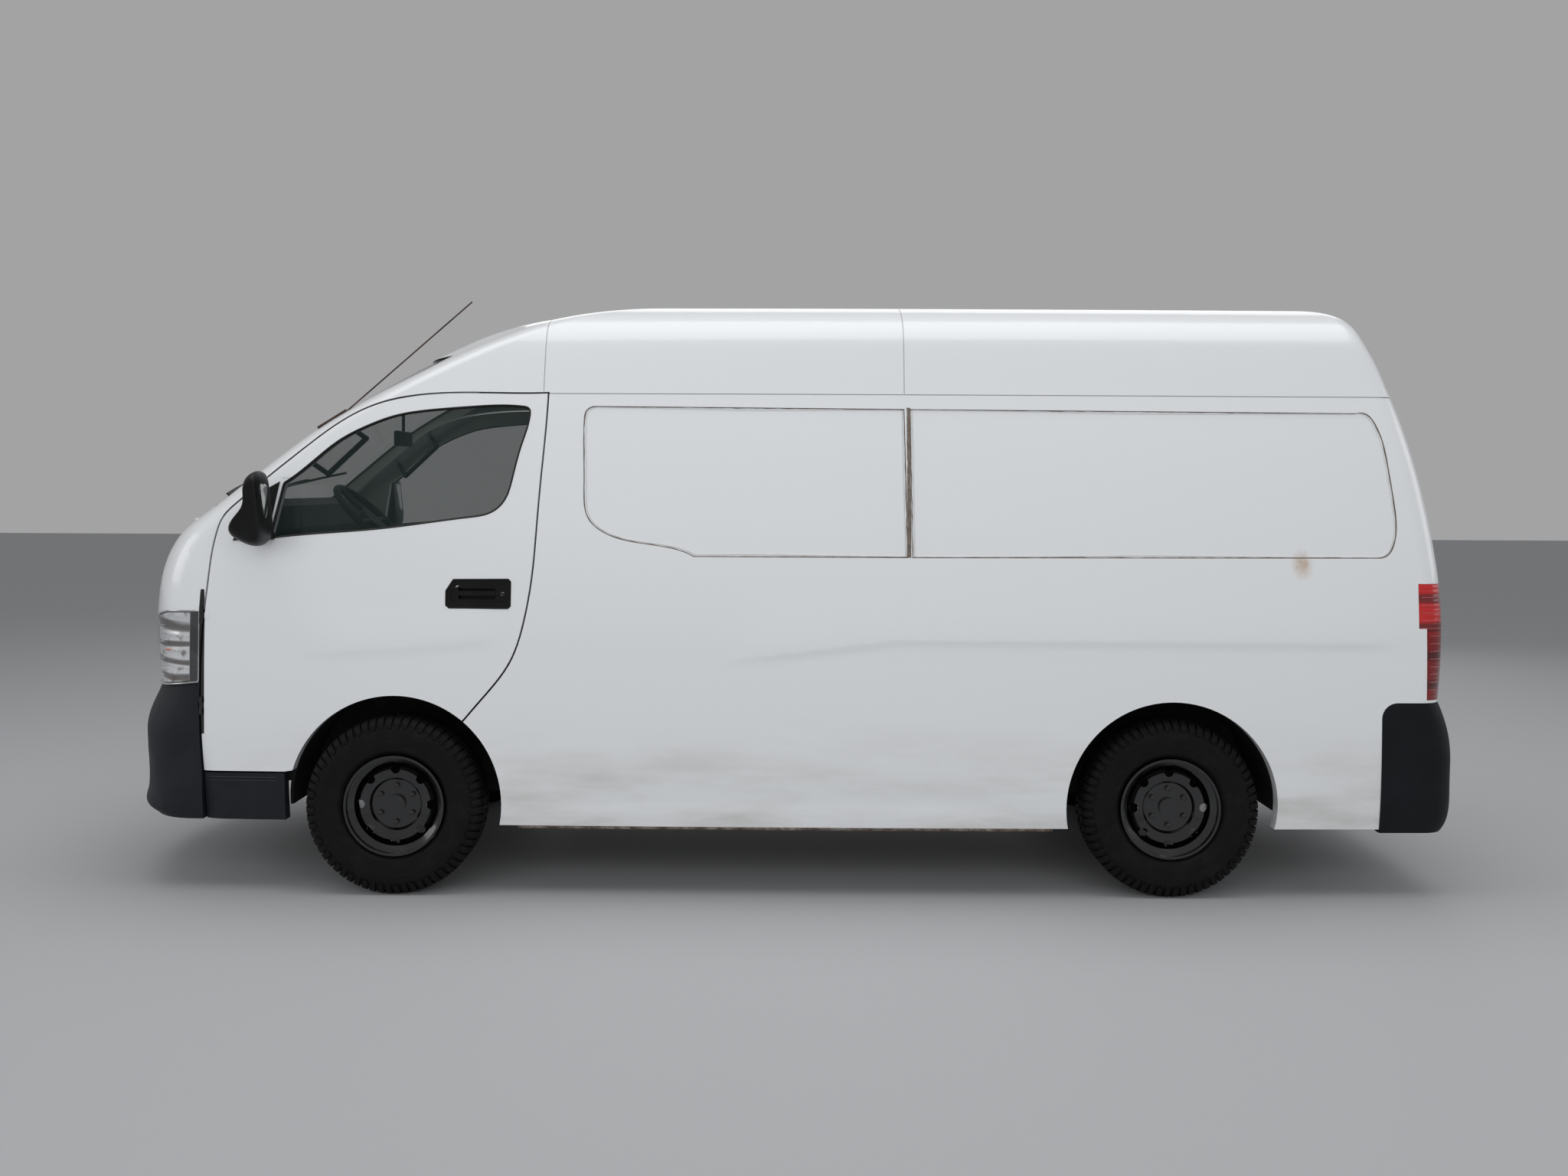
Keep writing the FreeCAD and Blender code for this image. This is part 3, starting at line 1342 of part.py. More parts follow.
def steering_wheel():
    """Three-spoked steering wheel."""
    rim = Part.makeTorus(wheel_ring_radius, wheel_rim_radius, wheel_centre, column_axis)
    front = wheel_centre + column_axis * wheel_boss_front
    boss = rod(front - column_axis * wheel_boss_height, front, wheel_boss_radius)
    spokes = []
    for direction in (axis_y, axis_y * -1, column_axis.cross(axis_y)):
        spokes.append(rod(wheel_centre, wheel_centre + direction * wheel_ring_radius, wheel_spoke_radius))
    return rim.multiFuse([boss] + spokes)


def seats():
    """Driver's seat and a double passenger seat, each a cushion and a low back."""
    base_z = seat_floor_height
    cushion_z = base_z + seat_base_height
    top_z = cushion_z + cushion_height
    base_x, cushion_x = [[along(share) for share in shares] for shares in (seat_base_shares, cushion_shares)]
    back_x = [along(share) for share in back_shares]
    solids = []
    for y0, y1 in ((-seat_outer_y, -seat_inner_y), (bench_inner_y, seat_outer_y)):
        base = box(*base_x, y0 + seat_base_inset, y1 - seat_base_inset, base_z, cushion_z)
        cushion = box(*cushion_x, y0, y1, cushion_z, top_z)
        cushion = cushion.makeFillet(cushion_round, cushion.Edges)
        low_z, high_z = top_z - back_round, top_z + back_height - back_round
        outline = [(back_x[0], low_z), (back_x[1], low_z), (back_x[2], high_z), (back_x[3], high_z)]
        back = side_prism(outline, y0, y1)
        back = back.makeFillet(back_round, back.Edges)
        solids.append(joined([base, cushion, back]))
    return solids


def antenna():
    """Aerial on the left windscreen pillar: a short base along the pillar and a thin mast."""
    y = -across(aerial_side_share)
    low, high = [up(share) for share in aerial_base_shares]
    start, end = Vector(skin_x(y, low, -1), y, low), Vector(skin_x(y, high, -1), y, high)
    tip = Vector(along(aerial_tip_shares[0]), y, up(aerial_tip_shares[1]))
    return rod(start, end, aerial_base_radius).fuse(rod(end, tip, aerial_mast_radius)).cut(body_form)


def cab_fittings():
    """Inside mirror on its stem, and the grab handles on the windscreen pillars."""
    glass_room = hull(glass_recess + glass_thickness + fit_gap, True)
    x, z = along(inner_mirror_shares[0]), up(inner_mirror_shares[1])
    half, rise = inner_mirror_half, inner_mirror_rise
    glass = box(x, x + inner_mirror_depth, -half, half, z - rise, z + rise)
    glass = glass.makeFillet(inner_mirror_round, glass.Edges)
    stem_at = Vector(x + inner_mirror_depth / 2, 0, z)
    stem = rod(stem_at, Vector(stem_at.x, 0, height), mirror_stem_radius).common(glass_room)
    wall_room = hull(wall + fit_gap, True)
    grip_y = -across(grip_side_share)
    ends = [Vector(along(a) + grip_stand_off, grip_y, up(b) - grip_stand_off) for a, b in grip_end_shares]
    foot_reach = (forward + upward) * (grip_lean_share * grip_foot_reach) - axis_y * grip_foot_reach
    feet = []
    for end in ends:
        feet.append(rod(end, end + foot_reach, grip_foot_radius).common(wall_room))
        feet.append(Part.makeSphere(grip_radius, end))
    return [glass.fuse(stem)] + pair(rod(ends[0], ends[1], grip_radius).multiFuse(feet))


def export(name, shapes):
    """Write one node. Its solids may be several like pieces that one body carries."""
    shapes = shapes if isinstance(shapes, list) else [shapes]
    solids = [solid for shape in shapes for solid in shape.Solids]
    node = solids[0] if len(solids) == 1 else Part.makeCompound(solids)
    node.exportStep("parts/" + name + ".step")
    print(name, "solids", len(solids), "valid", node.isValid(), "volume", round(node.Volume), flush=True)


os.makedirs("parts", exist_ok=True)
left_wheel_middles = {
    "front_left": Vector(front_axle_x, -front_wheel_y, tyre_radius),
    "rear_left": Vector(rear_axle_x, -rear_wheel_y, tyre_radius),
}
for name, middle in left_wheel_middles.items():
    other = name.replace("left", "right")
    one_tyre, one_wheel = tyre(middle), wheel(middle)
    export(name + "_tyre", one_tyre)
    export(name + "_wheel", one_wheel)
    export(other + "_tyre", mirrored(one_tyre))
    export(other + "_wheel", mirrored(one_wheel))
left_pieces = {
    "knuckle": knuckle(), "door": door(), "door_glass": door_glass(), "mirror": mirror(),
    "door_handle": handle(),
}
for name, piece in left_pieces.items():
    export("left_" + name, piece)
    export("right_" + name, mirrored(piece))
export("body_side_left", side_wall(-1))
export("body_side_right", side_wall(1))
export("step_claddings", pair(step_cladding()))
export("sliding_door_handle", mirrored(handle(slider_handle_shift)))
single_pieces = {
    "tailgate": tailgate, "tailgate_glass": tailgate_glass, "tailgate_grip": tail_grip, "bonnet": bonnet,
    "front_panel": front_panel, "front_grille": grille, "headlamps": headlamps, "front_bumper": front_bumper,
    "rear_bumper": rear_bumper, "tail_lamps": tail_lamps, "windscreen": windscreen, "roof_front": roof_front,
    "roof_middle": roof_middle, "roof_rear": roof_rear, "sliding_door": sliding_door,
    "window_blanks": window_blanks, "cab_floor": cab_floor, "load_floor": load_floor, "chassis": chassis,
    "front_suspension": front_suspension, "rear_axle": back_axle, "leaf_springs": leaf_springs, "engine": engine,
    "propeller_shaft": prop_shaft, "exhaust": exhaust, "fuel_tank": fuel_tank, "spare_wheel": spare_wheel,
    "dashboard": dashboard, "steering_column": steering_column, "steering_wheel": steering_wheel, "seats": seats,
    "antenna": antenna, "cab_fittings": cab_fittings,
}
for name, make in single_pieces.items():
    export(name, make())
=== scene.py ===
import json
import math

import bmesh
import bpy
import numpy as np
from mathutils import Matrix, Vector
from mathutils.bvhtree import BVHTree


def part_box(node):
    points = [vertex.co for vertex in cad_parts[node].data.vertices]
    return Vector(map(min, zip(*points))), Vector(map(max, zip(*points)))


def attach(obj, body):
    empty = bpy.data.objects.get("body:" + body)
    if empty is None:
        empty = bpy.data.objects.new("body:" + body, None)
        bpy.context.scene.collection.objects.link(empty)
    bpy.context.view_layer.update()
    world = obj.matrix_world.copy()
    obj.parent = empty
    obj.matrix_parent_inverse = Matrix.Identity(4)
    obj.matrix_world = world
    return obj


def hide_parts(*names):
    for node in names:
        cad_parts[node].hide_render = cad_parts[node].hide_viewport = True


# A white long-wheelbase, high-roof panel van: the finishes of its pieces, and the tread, seals, lamp parts,
# seats, wipers and pressed lines that stand on its solids or replace them. Metres. The nose points to -X, and
# the van's left side faces -Y.

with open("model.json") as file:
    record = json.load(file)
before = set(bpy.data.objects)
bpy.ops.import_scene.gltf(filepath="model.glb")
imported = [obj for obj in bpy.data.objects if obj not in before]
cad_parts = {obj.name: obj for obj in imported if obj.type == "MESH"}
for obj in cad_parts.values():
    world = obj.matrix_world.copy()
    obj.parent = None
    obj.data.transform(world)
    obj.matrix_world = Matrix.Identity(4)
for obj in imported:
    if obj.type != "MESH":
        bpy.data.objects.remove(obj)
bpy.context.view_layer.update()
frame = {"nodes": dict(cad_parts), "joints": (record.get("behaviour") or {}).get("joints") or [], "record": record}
nodes = frame["nodes"]
joints = {joint["name"]: joint for joint in frame["joints"]}
bodies = frame["record"]["behaviour"]["bodies"]
node_body = {node: body for body, members in bodies.items() for node in members}

MM = 0.001
ROOT = "root"
SIDES = ((-1, "left"), (1, "right"))
WHEELS = [(end + "_" + name, side) for end in ("front", "rear") for side, name in SIDES]
weld = 0.02 * MM

# Finishes


def linear(code):
    """Linear colour of an sRGB hex code."""
    channels = [int(code[place:place + 2], 16) / 255 for place in (0, 2, 4)]
    return tuple(c / 12.92 if c <= 0.04045 else ((c + 0.055) / 1.055) ** 2.4 for c in channels) + (1.0,)


def add(tree, kind, sockets=(), **settings):
    """Adds a node with its settings, and with values or links on its sockets, in order or by name."""
    node = tree.nodes.new(kind)
    for name, value in settings.items():
        setattr(node, name, value)
    for name, value in sockets.items() if isinstance(sockets, dict) else enumerate(sockets):
        if isinstance(value, bpy.types.NodeSocket):
            tree.links.new(value, node.inputs[name])
        else:
            node.inputs[name].default_value = value
    return node


def material(name):
    """A new material: its node tree and its empty Principled shader."""
    made = bpy.data.materials.new(name)
    made.use_nodes = True
    tree = made.node_tree
    tree.nodes.clear()
    shader = add(tree, "ShaderNodeBsdfPrincipled")
    add(tree, "ShaderNodeOutputMaterial", {"Surface": shader.outputs[0]})
    return made, tree, shader


def settle(shader, **values):
    """Puts plain values or links on the shader's own sockets."""
    for name, value in values.items():
        socket = shader.inputs[name.replace("_", " ")]
        if isinstance(value, bpy.types.NodeSocket):
            shader.id_data.links.new(value, socket)
        else:
            socket.default_value = value


def painted(tree, shader, base, *layers):
    """The shader's colour: a base with colours laid over it, each as far as its cover says."""
    colour = linear(base)
    for cover, over in layers:
        over = linear(over) if isinstance(over, str) else over
        colour = add(tree, "ShaderNodeMix", {0: cover, 6: colour, 7: over}, data_type="RGBA").outputs[2]
    settle(shader, Base_Color=colour)


def place_of(tree, stretch=(1, 1, 1)):
    """Places on the object in metres, stretched along each axis."""
    source = add(tree, "ShaderNodeTexCoord").outputs["Object"]
    return add(tree, "ShaderNodeMapping", {"Vector": source, "Scale": stretch}).outputs[0]


def patches(tree, size, limits, values, detail=3.0, roughness=0.5, stretch=(1, 1, 1)):
    """Patches about that size, which go between two values as their noise goes between two limits."""
    noise = add(tree, "ShaderNodeTexNoise", {
        "Vector": place_of(tree, stretch), "Scale": 1 / size, "Detail": detail, "Roughness": roughness})
    return add(tree, "ShaderNodeMapRange", [noise.outputs["Fac"], *limits, *values],
               interpolation_type="SMOOTHSTEP").outputs[0]


def along(tree, axis, limits, values=(0.0, 1.0)):
    """Goes between two values from one place to another along an axis of the object."""
    place = add(tree, "ShaderNodeSeparateXYZ", [place_of(tree)]).outputs[axis]
    return add(tree, "ShaderNodeMapRange", [place, *limits, *values],
               interpolation_type="SMOOTHSTEP").outputs[0]


def between_heights(tree, low, high, edge):
    """1 between two heights, with soft ends that long, and 0 above and below."""
    return add(tree, "ShaderNodeMath", [along(tree, "Z", (low, low + edge)),
                                        along(tree, "Z", (high - edge, high), (1.0, 0.0))],
               operation="MULTIPLY").outputs[0]


def bands(tree, period, axis="Z", stretch=(1, 1, 1), **sockets):
    """Bands across an axis, one in each period of that many metres."""
    # The wave turns 20 radians in its own unit of length
    given = {"Vector": place_of(tree, stretch), "Scale": 2 * math.pi / (20 * period)}
    given.update({name.replace("_", " "): value for name, value in sockets.items()})
    return add(tree, "ShaderNodeTexWave", given, bands_direction=axis).outputs["Fac"]


def grain(tree, shader, size, depth):
    """Fine relief of the surface: lumps of that size and depth in metres."""
    lumps = add(tree, "ShaderNodeTexNoise", {"Vector": place_of(tree), "Scale": 1 / size, "Detail": 2.0})
    settle(shader, Normal=add(tree, "ShaderNodeBump", {
        "Height": lumps.outputs["Fac"], "Strength": 1.0, "Distance": depth}).outputs[0])


def inner_side(tree):
    """Faces of a side panel that look into the van."""
    normal = add(tree, "ShaderNodeNewGeometry").outputs["True Normal"]
    across = [add(tree, "ShaderNodeSeparateXYZ", [vector]).outputs["Y"]
              for vector in (normal, place_of(tree))]
    turned = add(tree, "ShaderNodeMath", across, operation="MULTIPLY").outputs[0]
    return add(tree, "ShaderNodeMapRange", [turned, -0.12, -0.02, 1.0, 0.0],
               interpolation_type="SMOOTHSTEP").outputs[0]


def inner_roof(tree):
    """Faces of a roof panel that look across or down into the van."""
    normal = add(tree, "ShaderNodeNewGeometry").outputs["True Normal"]
    rise = add(tree, "ShaderNodeSeparateXYZ", [normal]).outputs["Z"]
    down = add(tree, "ShaderNodeMapRange", [rise, -0.45, -0.25, 1.0, 0.0],
               interpolation_type="SMOOTHSTEP").outputs[0]
    return add(tree, "ShaderNodeMath", [inner_side(tree), down], operation="MAXIMUM").outputs[0]


def hinge_barrel_shade(tree):
    """The front doors' hinge barrels, which stand in the gap ahead of the door: the gap's painted shade, near
    black, goes on them.
    """
    barrel_radius, edge = 12 * MM, 1 * MM
    lowest, highest = 0.600, 1.150
    hinge = joints["left_door_hinge"]["pos_m"]
    flat = add(tree, "ShaderNodeVectorMath", [place_of(tree, (1, 1, 0))], operation="ABSOLUTE").outputs[0]
    reach = add(tree, "ShaderNodeVectorMath", [flat, (abs(hinge[0]), abs(hinge[1]), 0.0)],
                operation="DISTANCE").outputs["Value"]
    inside, outside = barrel_radius - edge / 2, barrel_radius + edge / 2
    near = add(tree, "ShaderNodeMapRange", [reach, inside, outside, 1.0, 0.0],
               interpolation_type="SMOOTHSTEP").outputs[0]
    return add(tree, "ShaderNodeMath", [near, between_heights(tree, lowest, highest, edge)],
               operation="MULTIPLY").outputs[0]


def lamp_gap(tree):
    """The front panel's strip between headlamp and door, which lies in the gap's shadow."""
    strip_front, lowest, highest, edge = -2.2005, 0.764, 1.073, 2 * MM
    strip = add(tree, "ShaderNodeMath", [along(tree, "X", (strip_front, strip_front + edge)),
                                         between_heights(tree, lowest, highest, edge)],
                operation="MULTIPLY").outputs[0]
    return add(tree, "ShaderNodeMath", [strip, hinge_barrel_shade(tree)], operation="MAXIMUM").outputs[0]


def body_enamel(name, inner=None, dark=None):
    """Sprayed white acrylic enamel on steel: wet gloss over orange peel, with dust gathered low down."""
    stain_place, stain_stretch = (1.98, -0.905, 0.885), (1.0, 1.0, 0.7)
    made, tree, shader = material(name)
    settle(shader, IOR=1.5, Roughness=0.28, Coat_Weight=0.55, Coat_Roughness=0.06)
    low_down = along(tree, "Z", (0.27, 0.75), (1.0, 0.0))
    streaks = patches(tree, 220 * MM, (0.35, 0.8), (0.0, 0.55), detail=6.0, roughness=0.6,
                      stretch=(0.35, 1, 1.6))
    dust = add(tree, "ShaderNodeMath", [low_down, streaks], operation="MULTIPLY").outputs[0]
    reach = add(tree, "ShaderNodeVectorMath", [place_of(tree, stain_stretch), stain_place],
                operation="DISTANCE").outputs["Value"]
    near = add(tree, "ShaderNodeMapRange", [reach, 5 * MM, 50 * MM, 1.0, 0.0],
               interpolation_type="SMOOTHSTEP").outputs[0]
    spots = patches(tree, 20 * MM, (0.0, 1.0), (0.2, 0.9), detail=4.0)
    rust = add(tree, "ShaderNodeMath", [near, spots], operation="MULTIPLY").outputs[0]
    layers = [(dust, "A79F94"), (rust, "B08A58")]
    if inner:
        layers.append((inner(tree), "8E948F"))
    # Painted shade: near black where a gap between panels lies in shadow
    if dark:
        layers.append((dark(tree), "0B0B0C"))
    painted(tree, shader, "E6E8EA", *layers)
    grain(tree, shader, 6 * MM, 0.012 * MM)
    return made


def moulding(name, code, dusty, rough, size, depth):
    """Moulded plastic with a spark-eroded grain: dull, and greyed here and there with dust."""
    made, tree, shader = material(name)
    settle(shader, IOR=1.49, Specular_IOR_Level=0.28)
    dust = patches(tree, 120 * MM, (0.4, 0.8), (0.0, 0.5), detail=5.0, roughness=0.6)
    painted(tree, shader, code, (dust, dusty))
    settle(shader, Roughness=patches(tree, 50 * MM, (0.0, 1.0), (rough - 0.06, rough + 0.06)))
    grain(tree, shader, size, depth)
    return made


def plain(name, code, rough, metal=0.0, other=None, size=80 * MM, depth=0.0, **values):
    """A finish of one colour, which may drift towards another, with a gloss that varies a little."""
    made, tree, shader = material(name)
    settle(shader, Metallic=metal, **values)
    layers = []
    if other:
        drift = patches(tree, size, (0.35, 0.75), (0.0, 1.0), detail=5.0, roughness=0.6)
        layers.append((drift, other))
    painted(tree, shader, code, *layers)
    settle(shader, Roughness=patches(tree, size / 2, (0.0, 1.0), (max(rough - 0.05, 0.0), rough + 0.05)))
    if depth:
        grain(tree, shader, size / 20, depth)
    return made


def safety_glass():
    """Green-tinted float glass: sharp reflections, and what lies behind it shows through."""
    made, _, shader = material("green_tinted_safety_glass")
    settle(shader, Base_Color=linear("1E302D"), IOR=1.52, Alpha=0.27, Specular_IOR_Level=0.5, Roughness=0.02)
    return made


def headlamp_lens():
    """Clear moulded lens, with the dark matt strip down its rear edge."""
    strip_front = -2.237
    made, tree, shader = material("clear_moulded_polycarbonate")
    settle(shader, IOR=1.58, Coat_Weight=1.0, Coat_Roughness=0.01)
    edge = along(tree, "X", (strip_front, strip_front + 4 * MM))
    painted(tree, shader, "C9CED2", (edge, "2C2E30"))
    for name, values in (("Alpha", (0.09, 1.0)), ("Roughness", (0.02, 0.5))):
        settle(shader, **{name: add(tree, "ShaderNodeMapRange", [edge, 0.0, 1.0, *values],
                                    interpolation_type="SMOOTHSTEP").outputs[0]})
    return made


def reflector():
    """Metallised reflector in steps, with painted highlights in bright bands on the steps and, on some of them, a
    painted reflection of the brown of the bumper and floor.
    """
    made, tree, shader = material("stepped_lamp_reflector")
    steps = bands(tree, 67.11 * MM, "Z", (0.15, 0.15, 1.0), Distortion=2.5, Detail=2.0, Detail_Scale=3.0)
    # Painted highlights: bright bands on the steps
    bright = add(tree, "ShaderNodeMapRange", [steps, 0.08, 0.42, 0.0, 1.0], interpolation_type="SMOOTHSTEP")
    # Painted reflection: brown patches standing for the bumper and floor
    brown = patches(tree, 50 * MM, (0.55, 0.7), (0.0, 0.8))
    painted(tree, shader, "7E7875", (bright.outputs[0], "FAFBFC"), (brown, "6B4A42"))
    bump = add(tree, "ShaderNodeBump", {"Height": steps, "Strength": 0.7, "Distance": 3 * MM})
    settle(shader, Metallic=0.75, Roughness=0.22, Normal=bump.outputs[0])
    return made


def tail_lens():
    """Ribbed red lens: bright above, with dark bands between its chambers, and a deeper red below."""
    made, tree, shader = material("red_moulded_acrylic")
    upper = along(tree, "Z", (0.99, 1.05))
    chambers = bands(tree, 108.57 * MM, Distortion=0.4)
    dark = add(tree, "ShaderNodeMapRange", [chambers, 0.62, 0.9, 0.0, 0.75], interpolation_type="SMOOTHSTEP")
    painted(tree, shader, "7A0608", (upper, "C4090C"), (dark.outputs[0], "3A0204"))
    bump = add(tree, "ShaderNodeBump", {
        "Height": bands(tree, 17.765 * MM), "Strength": 0.8, "Distance": 0.8 * MM})
    settle(shader, IOR=1.49, Roughness=0.12, Coat_Weight=1.0, Coat_Roughness=0.03, Normal=bump.outputs[0])
    return made


def underseal():
    """Brushed bitumen underseal, black below and in the wheel housings, with worn grey floor paint above."""
    made, tree, shader = material("bitumen_underseal")
    normal = add(tree, "ShaderNodeNewGeometry").outputs["True Normal"]
    rise = add(tree, "ShaderNodeSeparateXYZ", [normal]).outputs["Z"]
    level = add(tree, "ShaderNodeMapRange", [rise, 0.7, 0.9, 0.0, 1.0], interpolation_type="SMOOTHSTEP")
    high = along(tree, "Z", (0.46, 0.47))
    upper = add(tree, "ShaderNodeMath", [level.outputs[0], high], operation="MULTIPLY").outputs[0]
    dust = patches(tree, 100 * MM, (0.45, 0.8), (0.0, 0.7), detail=6.0, roughness=0.65)
    floor = add(tree, "ShaderNodeMix", {0: dust, 6: linear("6B6C6D"), 7: linear("57544F")}, data_type="RGBA")
    painted(tree, shader, "101010", (dust, "2B2825"), (upper, floor.outputs[2]))
    settle(shader, Roughness=0.78)
    grain(tree, shader, 8 * MM, 0.6 * MM)
    return made


def tyre_compound():
    """Cured tyre rubber: near black and matt, with a grey-brown bloom in patches."""
    made, tree, shader = material("cured_tyre_rubber")
    bloom = patches(tree, 45 * MM, (0.42, 0.85), (0.0, 0.8), detail=6.0, roughness=0.65)
    painted(tree, shader, "0B0B0C", (bloom, "1B1A19"))
    dullness = patches(tree, 90 * MM, (0.0, 1.0), (0.52, 0.74), detail=4.0)
    settle(shader, Specular_IOR_Level=0.22, Roughness=dullness)
    grain(tree, shader, 2.5 * MM, 0.12 * MM)
    return made


def woven_cloth():
    """Flat-woven polyester seat cloth: crossing yarns 2 mm apart, drawn four times as coarse to show."""
    made, tree, shader = material("woven_seat_cloth")
    yarns = [bands(tree, 7.896 * MM, axis, Distortion=0.6, Detail=1.0) for axis in "XZ"]
    weave = add(tree, "ShaderNodeMath", yarns, operation="MULTIPLY").outputs[0]
    painted(tree, shader, "26282A", (weave, "3C4042"))
    bump = add(tree, "ShaderNodeBump", {"Height": weave, "Strength": 0.6, "Distance": 0.4 * MM})
    settle(shader, Roughness=0.9, Sheen_Weight=0.35, Sheen_Roughness=0.5, Normal=bump.outputs[0])
    return made


enamel = body_enamel("white_acrylic_enamel")
# The front panel's strip between headlamp and door gets painted shade, near black, as it lies in the gap's shadow
nose_enamel = body_enamel("white_enamel_with_painted_lamp_gap_shade", None, lamp_gap)
# The doors' hinge barrels get painted shade, near black, as the gap ahead of the door lies in shadow
side_enamel = body_enamel("white_enamel_with_side_trim_and_hinge_shade", inner_side, hinge_barrel_shade)
roof_enamel = body_enamel("white_enamel_with_headlining", inner_roof)
charcoal = moulding("grained_charcoal_polypropylene", "1C1F24", "2A2D31", 0.62, 1.6 * MM, 0.09 * MM)
rear_charcoal = moulding("grained_black_blue_polypropylene", "0C1014", "171B20", 0.6, 1.6 * MM, 0.09 * MM)
black_moulding = moulding("satin_black_nylon", "0D0D0E", "1C1D1E", 0.42, 1.2 * MM, 0.04 * MM)
trim_moulding = moulding("dark_cab_polypropylene", "1A1C1D", "26292A", 0.6, 1.8 * MM, 0.12 * MM)
rubber_seal = plain("extruded_door_rubber", "0B0B0C", 0.5, other="151515")
wheel_enamel = plain("gloss_black_wheel_enamel", "060607", 0.2, other="0C0C0D", Coat_Weight=0.8,
                     Coat_Roughness=0.08)
chassis_black = plain("dusty_chassis_enamel", "0C0C0C", 0.6, other="2A2622", depth=0.1 * MM)
iron = plain("dusty_cast_iron", "24211F", 0.7, metal=0.4, other="3A322B", depth=0.3 * MM)
steel = plain("heat_stained_steel_tube", "6E675F", 0.45, metal=0.9, other="5A4636", depth=0.05 * MM)
tank_plastic = plain("blow_moulded_polyethylene", "101112", 0.55, other="1F1E1C", depth=0.2 * MM)
side_glass = safety_glass()
clear_lens = headlamp_lens()
lamp_reflector = reflector()
red_lens = tail_lens()
pink_rib = plain("lens_rib_highlight", "C8646A", 0.2)
mirror_silver = plain("vacuum_coated_reflector", "D9DBDD", 0.12, metal=1.0, other="C3C5C8")
mirror_glass = plain("silvered_mirror_glass", "E6E9EA", 0.02, metal=1.0)
amber_lens = plain("amber_moulded_acrylic", "E0600A", 0.15, other="C84E05", Coat_Weight=1.0)
sealant = plain("aged_butyl_sealant", "7C7269", 0.8, other="5D5149", size=30 * MM, depth=0.3 * MM)
rusty_flange = plain("rusted_seam_flange", "4A3B33", 0.85, other="8C857C", size=30 * MM, depth=0.4 * MM)
# Plastic of a paler grey, for the two lines along the step
pale_step = plain("pale_grey_step_line_moulding", "3A3D41", 0.5)
mast_metal = plain("tarnished_aerial_mast", "5A4A42", 0.4, metal=0.8, other="3B3330")
lock_metal = plain("die_cast_zinc_lock", "9C9EA0", 0.3, metal=1.0, other="7D7F82")
tyre_rubber = tyre_compound()
tar = underseal()
seat_cloth = woven_cloth()

finishes = {
    nose_enamel: "front_panel",
    enamel: "bonnet window_blanks tailgate body_side_left body_side_right sliding_door",
    side_enamel: "left_door right_door",
    roof_enamel: "roof_front roof_middle roof_rear",
    charcoal: "front_bumper step_claddings",
    rear_charcoal: "rear_bumper",
    black_moulding: "front_grille left_mirror right_mirror left_door_handle right_door_handle "
                    "sliding_door_handle tailgate_grip",
    trim_moulding: "dashboard steering_column steering_wheel cab_fittings",
    side_glass: "windscreen left_door_glass right_door_glass tailgate_glass",
    clear_lens: "headlamps",
    red_lens: "tail_lamps",
    tar: "cab_floor load_floor",
    chassis_black: "chassis front_suspension leaf_springs",
    iron: "rear_axle engine left_knuckle right_knuckle",
    steel: "propeller_shaft exhaust",
    tank_plastic: "fuel_tank",
    mast_metal: "antenna",
    seat_cloth: "seats",
    tyre_rubber: "spare_wheel front_left_tyre front_right_tyre rear_left_tyre rear_right_tyre",
    wheel_enamel: "front_left_wheel front_right_wheel rear_left_wheel rear_right_wheel",
}


def finish_nodes():
    """Gives each solid that stays its finish."""
    for finish, names in finishes.items():
        for name in names.split():
            for place in nodes[name].material_slots:
                place.material = finish


